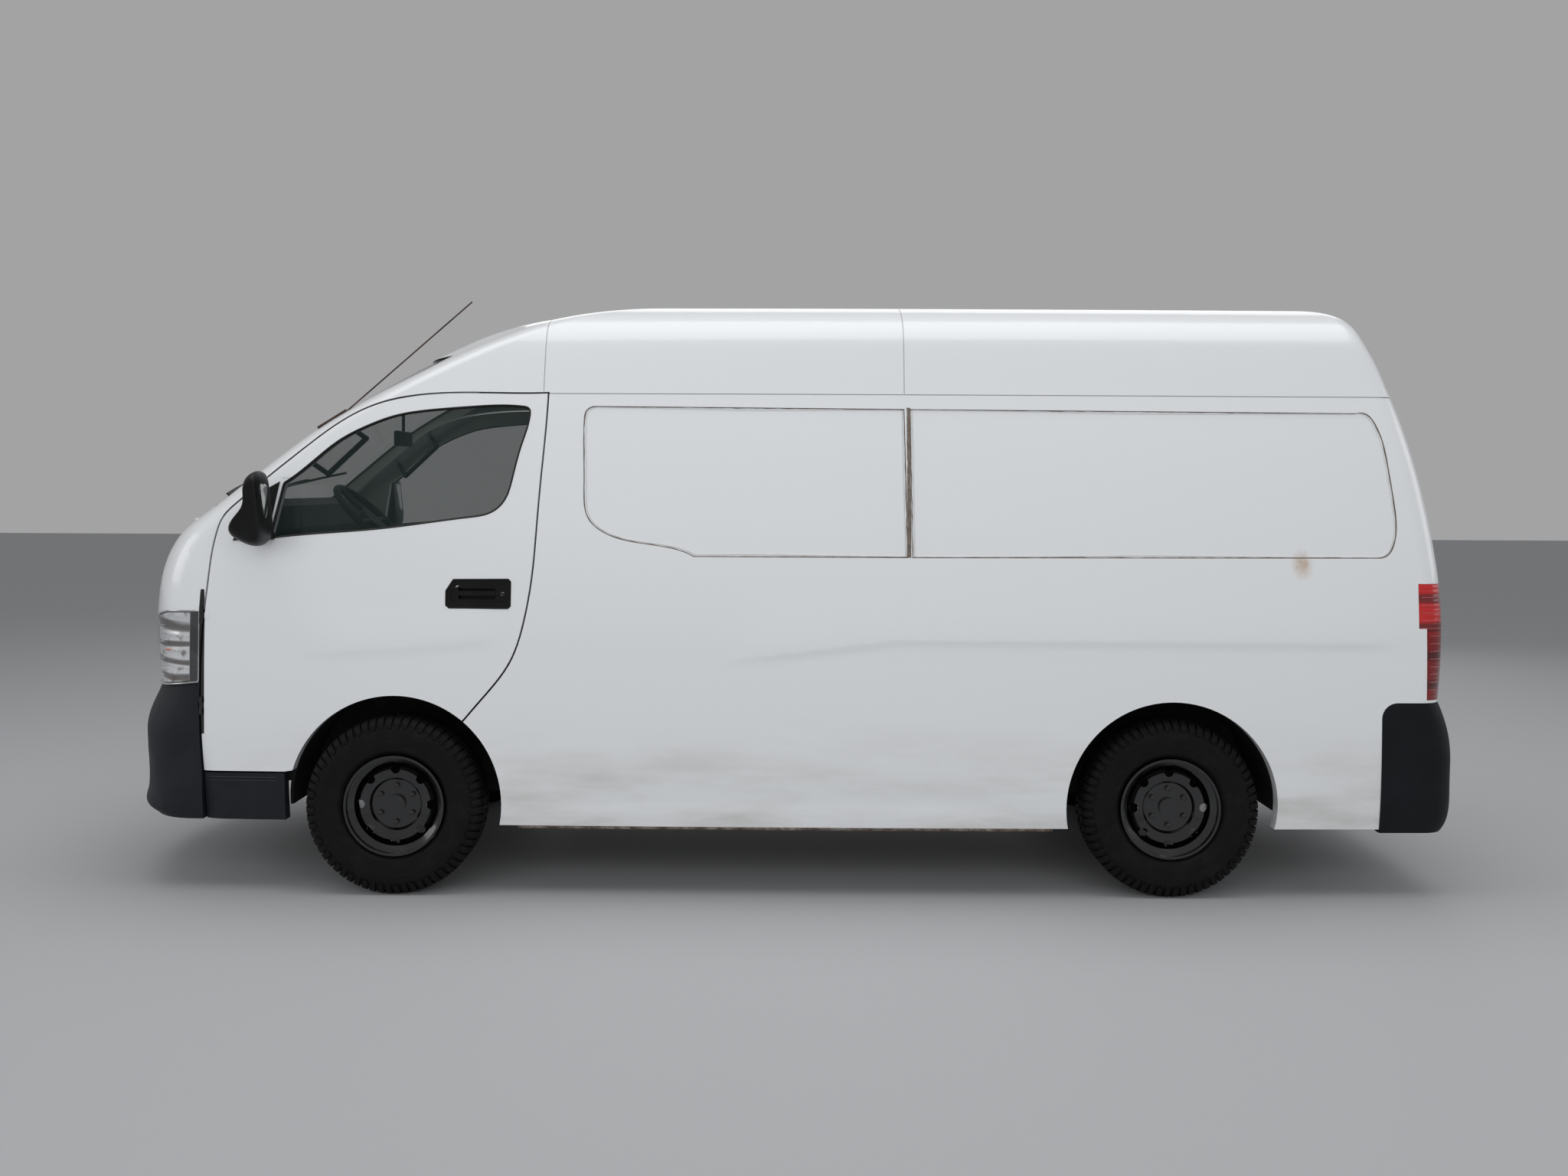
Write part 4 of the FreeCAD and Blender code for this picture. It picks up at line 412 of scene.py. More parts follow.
def studio():
    """Plain pale floor, soft light from all round, and the camera at the photograph's place."""
    scene = bpy.context.scene
    scene.view_settings.view_transform = "Standard"
    half = 40.0
    floor_mesh = bpy.data.meshes.new("floor")
    floor_mesh.from_pydata([(-half, -half, 0), (half, -half, 0), (half, half, 0), (-half, half, 0)], [],
                           [(0, 1, 2, 3)])
    floor = bpy.data.objects.new("floor", floor_mesh)
    scene.collection.objects.link(floor)
    floor_paint, _, shader = material("pale_studio_floor")
    settle(shader, Base_Color=linear("B9BABC"), Roughness=0.7)
    floor_mesh.materials.append(floor_paint)

    world = bpy.data.worlds.new("studio")
    world.use_nodes = True
    tree = world.node_tree
    tree.nodes.clear()
    rays = add(tree, "ShaderNodeLightPath")
    seen = rays.outputs["Is Camera Ray"]
    for other in ("Is Transmission Ray", "Is Glossy Ray"):
        seen = add(tree, "ShaderNodeMath", [seen, rays.outputs[other]], operation="MAXIMUM").outputs[0]
    light = add(tree, "ShaderNodeBackground", {"Color": linear("E4E7EA"), "Strength": 0.36}).outputs[0]
    shown = add(tree, "ShaderNodeBackground", {"Color": linear("A3A3A4"), "Strength": 1.0}).outputs[0]
    mixed = add(tree, "ShaderNodeMixShader", [seen, light, shown]).outputs[0]
    add(tree, "ShaderNodeOutputWorld", {"Surface": mixed})
    scene.world = world

    # Each softbox: its place, where it points, its width and height, and its watts
    softboxes = {
        "overhead": ((0.0, -1.0, 6.2), (0, 0, 0), (9.0, 5.0), 190.0),
        "near_side": ((-0.5, -10.0, 3.2), (0.0, 0, 0.9), (16.0, 6.0), 440.0),
        "far_side": ((1.5, 8.0, 4.5), (0, 0, 1.0), (9.0, 5.0), 120.0),
        "nose_end": ((-9.0, -1.5, 3.2), (-2, 0, 1.0), (4.0, 3.0), 60.0),
        "tail_end": ((9.0, -0.5, 3.2), (2, 0, 1.0), (4.0, 3.0), 50.0),
    }
    for name, (place, aim, size, watts) in softboxes.items():
        lamp = bpy.data.lights.new(name, "AREA")
        lamp.shape = "RECTANGLE"
        lamp.size, lamp.size_y = size
        lamp.energy = watts
        holder = bpy.data.objects.new(name, lamp)
        holder.location = place
        holder.rotation_euler = (Vector(aim) - Vector(place)).to_track_quat("-Z", "Y").to_euler()
        holder.visible_glossy = name != "near_side"
        scene.collection.objects.link(holder)

    focal_pixels, frame_width, frame_height, horizon_pixel = 2016, 2048, 1536, 634
    eye_place, roll_angle = (0.02, -6.74, 1.555), 0.005
    camera = bpy.data.cameras.new("camera")
    camera.sensor_width = 36.0
    camera.lens = camera.sensor_width * focal_pixels / frame_width
    camera.shift_y = (horizon_pixel - frame_height / 2) / frame_width
    eye = bpy.data.objects.new("camera", camera)
    roll = Matrix.Rotation(roll_angle, 4, (0, -1, 0))
    eye.matrix_world = Matrix.Translation(eye_place) @ roll @ Matrix.Rotation(math.pi / 2, 4, "X")
    scene.collection.objects.link(eye)
    scene.camera = eye


# Making shapes


def shade(mesh, angle=32.0):
    """Smooth shading, with edges sharper than the angle kept crisp."""
    mesh.polygons.foreach_set("use_smooth", [True] * len(mesh.polygons))
    mesh.set_sharp_from_angle(angle=math.radians(angle))


def piece(name, mesh, finish, body, stands_for=()):
    """A finished piece at the origin that rides on a body."""
    made = bpy.data.objects.new(name, mesh)
    bpy.context.scene.collection.objects.link(made)
    mesh.materials.clear()
    mesh.materials.append(finish)
    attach(made, body)
    if stands_for:
        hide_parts(*stands_for)
    return made


def mesh_of(name, points, faces):
    """A mesh from points and faces, its faces turned outwards."""
    mesh = bpy.data.meshes.new(name)
    mesh.from_pydata([tuple(p) for p in points], [], faces)
    form = bmesh.new()
    form.from_mesh(mesh)
    bmesh.ops.remove_doubles(form, verts=form.verts, dist=weld / 2)
    bmesh.ops.recalc_face_normals(form, faces=form.faces)
    form.to_mesh(mesh)
    form.free()
    shade(mesh)
    return mesh


def applied(holder, name):
    """The mesh that an object's modifiers give, with the object itself removed."""
    bpy.context.view_layer.update()
    depsgraph = bpy.context.evaluated_depsgraph_get()
    mesh = bpy.data.meshes.new_from_object(holder.evaluated_get(depsgraph))
    mesh.name = name
    bpy.data.objects.remove(holder)
    return mesh


def with_nodes(mesh, group, values):
    """The mesh passed through a Geometry Nodes group, its inputs set by name."""
    holder = bpy.data.objects.new("holder", mesh)
    bpy.context.scene.collection.objects.link(holder)
    modifier = holder.modifiers.new("form", "NODES")
    modifier.node_group = group
    for item in group.interface.items_tree:
        if item.item_type == "SOCKET" and item.in_out == "INPUT" and item.name in values:
            modifier[item.identifier] = values[item.name]
    return applied(holder, mesh.name + "_formed")


def geometry_group(name, inputs):
    """A Geometry Nodes group with a Geometry input and output and named sizes, and its input node."""
    group = bpy.data.node_groups.new(name, "GeometryNodeTree")
    group.interface.new_socket("Geometry", in_out="INPUT", socket_type="NodeSocketGeometry")
    group.interface.new_socket("Geometry", in_out="OUTPUT", socket_type="NodeSocketGeometry")
    for label, kind in inputs.items():
        group.interface.new_socket(label, in_out="INPUT", socket_type=kind)
    return group, add(group, "NodeGroupInput").outputs


def end_group(group, given, geometry):
    """Ends a group: its instances made real, and its finish set."""
    real = add(group, "GeometryNodeRealizeInstances", {"Geometry": geometry})
    done = add(group, "GeometryNodeSetMaterial", {"Geometry": real.outputs[0], "Material": given["Finish"]})
    add(group, "NodeGroupOutput", {"Geometry": done.outputs[0]})
    return group


def around_group():
    """Copies of a mesh set round the Y axis through the origin."""
    group, given = geometry_group("copies_round_axle", {
        "Count": "NodeSocketInt", "Finish": "NodeSocketMaterial"})
    one = add(group, "GeometryNodeGeometryToInstance", {"Geometry": given["Geometry"]})
    copies = add(group, "GeometryNodeDuplicateElements", {
        "Geometry": one.outputs[0], "Amount": given["Count"]}, domain="INSTANCE")
    step = add(group, "ShaderNodeMath", [2 * math.pi, given["Count"]], operation="DIVIDE")
    angle = add(group, "ShaderNodeMath", [copies.outputs["Duplicate Index"], step.outputs[0]],
                operation="MULTIPLY")
    turn = add(group, "ShaderNodeCombineXYZ", {"Y": angle.outputs[0]})
    turned = add(group, "GeometryNodeRotateInstances", {
        "Instances": copies.outputs["Geometry"], "Rotation": turn.outputs[0], "Local Space": False})
    return end_group(group, given, turned.outputs[0])


def bead_group():
    """A bead along a line: its section's width and height, how far its surface wanders and in what lumps."""
    size_inputs = {label: "NodeSocketFloat" for label in ("Width", "Height", "Wander", "Lump")}
    group, given = geometry_group("bead_along_line", {**size_inputs, "Finish": "NodeSocketMaterial"})
    line = add(group, "GeometryNodeMeshToCurve", {"Mesh": given["Geometry"]})
    section = add(group, "GeometryNodeCurvePrimitiveCircle", {"Resolution": 8, "Radius": 0.5})
    size = add(group, "ShaderNodeCombineXYZ", {"X": given["Width"], "Y": given["Height"], "Z": 1.0})
    sized = add(group, "GeometryNodeTransform", {"Geometry": section.outputs[0], "Scale": size.outputs[0]})
    tube = add(group, "GeometryNodeCurveToMesh", {
        "Curve": line.outputs[0], "Profile Curve": sized.outputs[0], "Fill Caps": True})
    lumps = add(group, "ShaderNodeTexNoise", {"Scale": given["Lump"], "Detail": 3.0})
    centred = add(group, "ShaderNodeVectorMath", [lumps.outputs["Color"], (0.5, 0.5, 0.5)],
                  operation="SUBTRACT")
    drift = add(group, "ShaderNodeVectorMath", {0: centred.outputs[0], "Scale": given["Wander"]},
                operation="SCALE")
    moved = add(group, "GeometryNodeSetPosition", {"Geometry": tube.outputs[0], "Offset": drift.outputs[0]})
    return end_group(group, given, moved.outputs[0])


copies_round_axle = around_group()
bead_along_line = bead_group()


def bead(name, runs, size, finish, body, closed=True, wander=0.0, lump=40.0):
    """Seal, sealant or wire of a width and height along runs of points, which all close or all stay open."""
    points, edges = [], []
    for run in runs:
        start = len(points)
        points += [tuple(p) for p in run]
        edges += [(start + index, start + index + 1) for index in range(len(run) - 1)]
        if closed:
            edges.append((start + len(run) - 1, start))
    line = bpy.data.meshes.new(name)
    line.from_pydata(points, edges, [])
    width, height = size
    mesh = with_nodes(line, bead_along_line, {
        "Width": width, "Height": height, "Wander": wander, "Lump": lump, "Finish": finish})
    shade(mesh, 60.0)
    return piece(name, mesh, finish, body)


def merged(node):
    """A node's form with its loose triangles joined."""
    form = bmesh.new()
    form.from_mesh(nodes[node].data)
    bmesh.ops.remove_doubles(form, verts=form.verts, dist=weld)
    return form


def outer_rims(node, direction, lean):
    """Closed outlines of a node's faces that lean far enough towards a direction, as lists of points."""
    form = merged(node)
    form.normal_update()
    aim = Vector(direction)
    facing = {face.index for face in form.faces if face.normal.dot(aim) > lean}
    follow = {}
    for face in form.faces:
        if face.index in facing:
            for loop in face.loops:
                others = [other for other in loop.edge.link_faces if other is not face]
                if not others or others[0].index not in facing:
                    follow[loop.vert.index] = loop.link_loop_next.vert.index
    form.verts.ensure_lookup_table()
    runs = []
    while follow:
        run, here = [], next(iter(follow))
        while here in follow:
            run.append(form.verts[here].co.copy())
            here = follow.pop(here)
        runs.append(run)
    form.free()
    return runs


def centre_of(run):
    """Mean of a run's points."""
    return sum(run, Vector()) / len(run)


def thinned(run, spacing):
    """The closed run with its points spaced evenly, about that far apart."""
    points = run + run[:1]
    reach = np.cumsum([0.0] + [(b - a).length for a, b in zip(points, points[1:])])
    count = max(int(reach[-1] / spacing), 8)
    places = np.linspace(0, reach[-1], count, endpoint=False)
    columns = [np.interp(places, reach, [p[axis] for p in points]) for axis in range(3)]
    return [Vector(values) for values in zip(*columns)]


def tree_of(*names):
    """Ray tree of some nodes."""
    points, faces = [], []
    for name in names:
        mesh = nodes[name].data
        start = len(points)
        points += [vert.co.copy() for vert in mesh.vertices]
        faces += [[start + index for index in face.vertices] for face in mesh.polygons]
    return BVHTree.FromPolygons(points, faces)


def on_side(tree, x, z, side, proud=0.0):
    """Point of the van's outer skin on a side (-1 left, 1 right), standing proud by that much, or None."""
    hit, normal, _, _ = tree.ray_cast(Vector((x, side * 2.0, z)), Vector((0, -side, 0)))
    return hit + normal.normalized() * proud if hit else None


def side_run(tree, points, side, proud=0.0):
    """The points of a side view laid on the skin, without those that miss it."""
    found = [on_side(tree, x, z, side, proud) for x, z in points]
    return [point for point in found if point]


def between(points, spacing):
    """A side-view line with points about that far apart."""
    run = []
    for (x0, z0), (x1, z1) in zip(points, points[1:]):
        steps = max(int(math.hypot(x1 - x0, z1 - z0) / spacing), 1)
        run += [(x0 + (x1 - x0) * k / steps, z0 + (z1 - z0) * k / steps) for k in range(steps)]
    return run + [points[-1]]


# Tyres

tyre_low, tyre_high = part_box("front_left_tyre")
tyre_radius = (tyre_high.z - tyre_low.z) / 2
tyre_width = tyre_high.y - tyre_low.y
tread_pitches = 32
tread_depth = 9 * MM
lug_end_reach = 128 * MM

# Half section from the crown to the bead, in shares of the tyre's radius and width
profile_shares = [
    (1.0, 0.0), (1.0, 0.18), (0.998, 0.32), (0.966, 0.428), (0.90, 0.484), (0.78, 0.498), (0.66, 0.462),
    (0.615, 0.425), (0.575, 0.34),
]

# Each block's rows: distance from the crown in mm, and its start and end there in shares of the pitch
centre_block = [(1.2, 0.0, 0.40), (9, 0.05, 0.44), (17, 0.02, 0.36)]
middle_block = [(22, 0.10, 0.50), (36, 0.02, 0.43), (50, 0.08, 0.47)]
shoulder_lug = [(56, 0.06, 0.40), (70, 0.03, 0.43), (84, 0.05, 0.42), (98, 0.08, 0.40), (110, 0.10, 0.38)]

# Rings moulded on the sidewall: distance from the crown in m, height and half width in mm
sidewall_rings = [
    (0.150, 1.1, 2.5), (0.158, -0.9, 1.4), (0.178, 0.9, 3.0), (0.206, 1.0, 3.0), (0.2175, -1.2, 1.6),
]


def smooth_run(points, count):
    """Evenly parted points on a smooth curve through the given ones, and how far along it each lies."""
    points = np.array(points, float)
    padded_points = np.vstack([2 * points[0] - points[1], points, 2 * points[-1] - points[-2]])
    samples = []
    for index in range(len(points) - 1):
        a, b, c, d = padded_points[index:index + 4]
        for part in np.linspace(0, 1, 24, endpoint=False):
            samples.append(0.5 * (2 * b + (c - a) * part + (2 * a - 5 * b + 4 * c - d) * part ** 2
                                  + (3 * b - a - 3 * c + d) * part ** 3))
    samples = np.array(samples + [points[-1]])
    reach = np.concatenate([[0], np.cumsum(np.linalg.norm(np.diff(samples, axis=0), axis=1))])
    places = np.linspace(0, reach[-1], count)
    return np.array([np.interp(places, reach, column) for column in samples.T]).T, places


def tyre_profile():
    """Half section of the tyre: radius and place across, distance from the crown, and outward normal."""
    outline, reach = smooth_run([(r * tyre_radius, w * tyre_width) for r, w in profile_shares], 64)
    slope = np.gradient(outline, axis=0)
    slope /= np.linalg.norm(slope, axis=1)[:, None]
    return outline, reach, np.stack([slope[:, 1], -slope[:, 0]], axis=1)


section, section_reach, section_normal = tyre_profile()


def on_section(reach, depth):
    """Radius and place across at a distance from the crown, that far below the tyre's outer form."""
    radius, across = [np.interp(reach, section_reach, section[:, column]) for column in (0, 1)]
    out_radius, out_across = [np.interp(reach, section_reach, section_normal[:, column]) for column in (0, 1)]
    return radius - depth * out_radius, across - depth * out_across


def wrapped(angle, reach, depth, side):
    """Point of the tyre at an angle round the axle."""
    radius, across = on_section(reach, depth)
    return (radius * math.sin(angle), side * across, radius * math.cos(angle))


def carcass():
    """Carcass below the tread, with its sidewalls' rings: the points and faces of one closed ring."""
    half = []
    for reach in np.linspace(0, section_reach[-1], 74):
        depth = tread_depth * min(max((lug_end_reach - reach) / (20 * MM), 0.0), 1.0)
        for place, height, spread in sidewall_rings:
            depth -= height * MM * math.exp(-((reach - place) / (spread * MM)) ** 2)
        half.append(on_section(reach, depth))
    full = half[::-1] + [(radius, -across) for radius, across in half[1:]]
    count, turns = len(full), 144
    points, faces = [], []
    for index in range(turns):
        angle = 2 * math.pi * index / turns
        points += [(radius * math.sin(angle), across, radius * math.cos(angle)) for radius, across in full]
        here, after = index * count, (index + 1) % turns * count
        faces += [(here + k, here + k + 1, after + k + 1, after + k) for k in range(count - 1)]
        faces.append((here + count - 1, here, after, after + count - 1))
    return points, faces


def lug(points, faces, side, shift, rows):
    """One tread block, shifted along the pitch, with a chamfer round its top."""
    chamfer, root = 1.1 * MM, 1.5 * MM
    levels = [(tread_depth + root, 0.0), (chamfer, 0.0), (0.0, chamfer)]
    pitch_angle = 2 * math.pi / tread_pitches
    middle = (rows[0][0] * MM + rows[-1][0] * MM) / 2
    first, per_level = len(points), 2 * len(rows)
    for depth, inset in levels:
        trim = inset / tyre_radius
        for millimetres, start, end in rows:
            reach = millimetres * MM
            drawn = reach + math.copysign(min(inset, abs(middle - reach)), middle - reach)
            points.append(wrapped((shift + start) * pitch_angle + trim, drawn, depth, side))
            points.append(wrapped((shift + end) * pitch_angle - trim, drawn, depth, side))
    for level in range(2):
        low, high = first + level * per_level, first + (level + 1) * per_level
        for row in range(0, per_level - 2, 2):
            for k in (row, row + 1):
                wall = (low + k, low + k + 2, high + k + 2, high + k)
                faces.append(wall if k > row else wall[::-1])
        for k in (0, per_level - 2):
            wall = (low + k, low + k + 1, high + k + 1, high + k)
            faces.append(wall[::-1] if k else wall)
    for level in (0, 2):
        base = first + level * per_level
        for row in range(0, per_level - 2, 2):
            top = tuple(base + row + k for k in (0, 1, 3, 2))
            faces.append(top if level else top[::-1])


def tread_pitch():
    """One repeat of the tread: on each side two centre blocks, two middle blocks and two shoulder lugs."""
    points, faces = [], []
    for side in (-1, 1):
        swing = 0.12 * side
        for step, lug_end in ((0.0, 126), (0.5, 118)):
            lug(points, faces, side, step + swing, centre_block)
            lug(points, faces, side, step, middle_block)
            lug(points, faces, side, step, shoulder_lug + [(lug_end, 0.12, 0.35)])
    return mesh_of("tread_pitch", points, faces)


def tyres():
    """A carcass with its tread for each road wheel."""
    ring_points, ring_faces = carcass()
    tread = with_nodes(tread_pitch(), copies_round_axle, {"Count": tread_pitches, "Finish": tyre_rubber})
    shade(tread, 30.0)
    for wheel, _ in WHEELS:
        node = wheel + "_tyre"
        low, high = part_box(node)
        to_axle = Matrix.Translation((low + high) / 2)
        wall = mesh_of(node + "_carcass_form", ring_points, ring_faces)
        wall.transform(to_axle)
        blocks = tread.copy()
        blocks.transform(to_axle)
        piece(node + "_carcass", wall, tyre_rubber, node_body[node], [node])
        piece(node + "_tread", blocks, tyre_rubber, node_body[node])


# Seals and sealant


def side_rims(node, side):
    """The rims of a node's faces that look out on one side of the van."""
    return [thinned(run, 12 * MM) for run in outer_rims(node, (0, side, 0), 0.5)
            if len(run) > 8 and centre_of(run).y * side > 0]


def sealing():
    """Rubber round the glass, and the old sealant round the blanked side windows."""
    belt_front, belt_height, belt_slope = -1.94, 1.38, 0.075
    seam_x, seam_foot, seam_top = 0.495, 1.285, 1.855
    for side, name in SIDES:
        glass = name + "_door_glass"
        panes = side_rims(glass, side)
        bead(name + "_window_seal", panes, (15 * MM, 9 * MM), rubber_seal, node_body[glass])
        belts = []
        for run in panes:
            belt = [point + Vector((0, -side * 3 * MM, -9 * MM)) for point in sorted(run, key=lambda p: p.x)
                    if point.z < belt_height + belt_slope * max(point.x - belt_front, 0.0)]
            belts += [belt] if len(belt) > 4 else []
        bead(name + "_belt_strip", belts, (15 * MM, 15 * MM), rubber_seal, node_body[glass],
             closed=False)
        blanks = side_rims("window_blanks", side)
        bead(name + "_blank_sealant", blanks, (10 * MM, 6 * MM), sealant, ROOT,
             wander=7 * MM, lump=26.0)
        lips = [[point + (centre_of(run) - point).normalized() * 10 * MM for point in run] for run in blanks]
        bead(name + "_blank_lip", lips, (7 * MM, 4 * MM), enamel, ROOT,
             wander=2 * MM, lump=15.0)
        skin = tree_of("window_blanks", "body_side_" + name)
        seam = side_run(skin, between([(seam_x, seam_foot), (seam_x, seam_top)], 9.4 * MM), side)
        bead(name + "_blank_middle_sealant", [seam], (15 * MM, 6 * MM), sealant, ROOT, closed=False,
             wander=6 * MM, lump=30.0)
    for glass, direction in (("windscreen", (-0.8, 0, 0.6)), ("tailgate_glass", (1, 0, 0))):
        longest = max(outer_rims(glass, direction, 0.35),
                      key=lambda run: sum((b - a).length for a, b in zip(run, run[1:])))
        bead(glass + "_seal", [thinned(longest, 15 * MM)], (16 * MM, 8 * MM), rubber_seal, node_body[glass])


# Pressed lines


def smooth(share):
    """Soft step from 0 to 1."""
    share = np.clip(share, 0.0, 1.0)
    return share * share * (3 - 2 * share)


def crease(places, starts, ends, line, proud, above, below):
    """A pressed line that fades in and out along the side, with a width above it and one below."""
    x, z = places[:, 0], places[:, 2]
    fade = smooth((x - starts[0]) / (starts[1] - starts[0])) * smooth((ends[1] - x) / (ends[1] - ends[0]))
    rise = z - np.interp(x, [p[0] for p in line], [p[1] for p in line])
    return proud * fade * np.exp(-(rise / np.where(rise > 0, above, below)) ** 2)


def side_field(places):
    """How far each place moves: the pressed lines of doors and side walls, and the hollow over the sill."""
    wall_line = [(-0.3, 0.885), (-0.2, 0.90), (0.46, 0.98), (2.4, 0.972)]
    door_line = [(-1.9, 0.915), (-1.4, 0.945), (-1.0, 0.985)]
    sill_line = [(-1.0, 0.36), (1.0, 0.355)]
    wall = crease(places, (-0.28, 0.05), (2.15, 2.42), wall_line, proud=7 * MM, above=170 * MM, below=22 * MM)
    door = crease(places, (-1.9, -1.65), (-1.16, -1.02), door_line,
                  proud=5 * MM, above=130 * MM, below=30 * MM)
    sill = crease(places, (-0.95, -0.7), (0.7, 1.0), sill_line, proud=-5 * MM, above=60 * MM, below=35 * MM)
    skin_start, soft_edge = 0.70, 50 * MM
    outer = smooth((np.abs(places[:, 1]) - skin_start) / soft_edge)
    moved = np.zeros_like(places)
    moved[:, 1] = np.sign(places[:, 1]) * (wall + door + sill) * outer
    return moved


def reshaped(node, field, cuts):
    """A node's form moved by a field, cut along planes first where it has to bend, its shading kept."""
    mesh = nodes[node].data.copy()
    normals = np.empty(len(mesh.loops) * 3)
    mesh.corner_normals.foreach_get("vector", normals)
    mesh.attributes.new("kept_normal", "FLOAT_VECTOR", "CORNER").data.foreach_set("vector", normals)
    form = bmesh.new()
    form.from_mesh(mesh)
    bmesh.ops.remove_doubles(form, verts=form.verts, dist=weld)
    for axis, values in cuts:
        normal = Vector([float(axis == other) for other in range(3)])
        for value in values:
            bmesh.ops.bisect_plane(form, geom=form.verts[:] + form.edges[:] + form.faces[:],
                                   plane_co=normal * value, plane_no=normal, dist=weld / 2)
    form.to_mesh(mesh)
    form.free()
    places = np.empty(len(mesh.vertices) * 3)
    mesh.vertices.foreach_get("co", places)
    places = places.reshape(-1, 3)
    # The inverse of the field's slope turns the kept normals with the surface
    step = 0.2 * MM
    turn = np.zeros((len(places), 3, 3))
    for axis, shift in enumerate(np.eye(3) * step):
        turn[:, :, axis] = (field(places + shift) - field(places - shift)) / (2 * step)
    turn = np.linalg.inv(np.transpose(turn + np.eye(3), (0, 2, 1)))
    normals = np.empty(len(mesh.loops) * 3)
    mesh.attributes["kept_normal"].data.foreach_get("vector", normals)
    corners = np.empty(len(mesh.loops), dtype=np.int32)
    mesh.loops.foreach_get("vertex_index", corners)
    normals = np.einsum("nij,nj->ni", turn[corners], normals.reshape(-1, 3))
    lengths = np.linalg.norm(normals, axis=1)[:, None]
    normals = np.where(lengths > 0, normals / np.maximum(lengths, 1e-9), (0.0, 0.0, 1.0))
    mesh.vertices.foreach_set("co", (places + field(places)).ravel())
    mesh.attributes.remove(mesh.attributes["kept_normal"])
    mesh.update()
    mesh.normals_split_custom_set(normals.tolist())
    return mesh


def bodywork():
    """Doors and side walls with their pressed lines."""
    row_pitch, column_margin, column_pitch = 12 * MM, 30 * MM, 70 * MM
    rows = [foot + row_pitch * k for foot, count in ((0.30, 10), (0.86, 22)) for k in range(count)]
    for node in ("body_side_left", "body_side_right", "sliding_door", "left_door", "right_door"):
        low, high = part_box(node)
        columns = np.arange(low.x + column_margin, high.x, column_pitch)
        finish = side_enamel if node in ("left_door", "right_door") else enamel
        mesh = reshaped(node, side_field, [(2, rows), (0, columns)])
        piece(node + "_pressed", mesh, finish, node_body[node], [node])


# Lamps and fittings


def lamps():
    """Reflectors, a bright rim, ribs and an amber capsule in the headlamps, and ribs on the tail lamps."""
    fog_lamp_top, forward, outward, lean = 0.7, -0.62, 0.78, 0.42
    head_front, head_foot, amber_front, amber_height = -2.388, 0.815, -2.345, 0.915
    tail_front, tail_foot = 2.40, 0.795
    form = merged("headlamps")
    form.normal_update()
    for vert in form.verts:
        vert.co -= vert.normal * 9 * MM
    inner = bpy.data.meshes.new("headlamp_reflectors")
    form.to_mesh(inner)
    form.free()
    shade(inner)
    piece("headlamp_reflectors", inner, lamp_reflector, ROOT)
    head, tail = tree_of("headlamps"), tree_of("tail_lamps")
    for side, name in SIDES:
        rims = [thinned(run, 8 * MM) for run in outer_rims("headlamps", (forward, side * outward, 0.0), lean)
                if len(run) > 8 and centre_of(run).y * side > 0 and centre_of(run).z > fog_lamp_top]
        bead(name + "_headlamp_rim", rims, (7 * MM, 6 * MM), mirror_silver, ROOT)
        ribs = []
        for level in range(13):
            height = head_foot + 16 * MM * level
            line = [(head_front + 4 * MM * k, height) for k in range(8)]
            ribs.append(side_run(head, line, side, -5 * MM))
        bead(name + "_headlamp_ribs", [line for line in ribs if len(line) > 2], (7 * MM, 4 * MM),
             mirror_silver, ROOT, closed=False)
        capsule = side_run(head, [(amber_front + 3 * MM * k, amber_height) for k in range(5)], side, -3 * MM)
        bead(name + "_amber_capsule", [capsule], (12 * MM, 6 * MM), amber_lens, ROOT, closed=False)
        ribs = []
        for level in range(13):
            height = tail_foot + 29 * MM * level
            line = [(tail_front + 6 * MM * k, height) for k in range(24)]
            ribs.append(side_run(tail, line, side, 0.4 * MM))
        bead(name + "_tail_lamp_ribs", [line[1:-1] for line in ribs if len(line) > 4], (2.6 * MM, 2 * MM),
             pink_rib, ROOT, closed=False)


def plate_ring(name, skin, outer, inner, side, finish, body):
    """A thin moulded frame lying on the skin between two side-view outlines with as many points each."""
    count, proud = len(outer), 2.5 * MM
    points = []
    for outline, height in ((outer, -1 * MM), (outer, proud), (inner, proud), (inner, -4 * MM)):
        for (x, z), (rim_x, rim_z) in zip(outline, outer):
            points.append(Vector((x, on_side(skin, rim_x, rim_z, side, height).y, z)))
    faces = [(r * count + k, r * count + (k + 1) % count, (r + 1) % 4 * count + (k + 1) % count,
              (r + 1) % 4 * count + k) for r in range(4) for k in range(count)]
    piece(name, mesh_of(name, points, faces), finish, body)


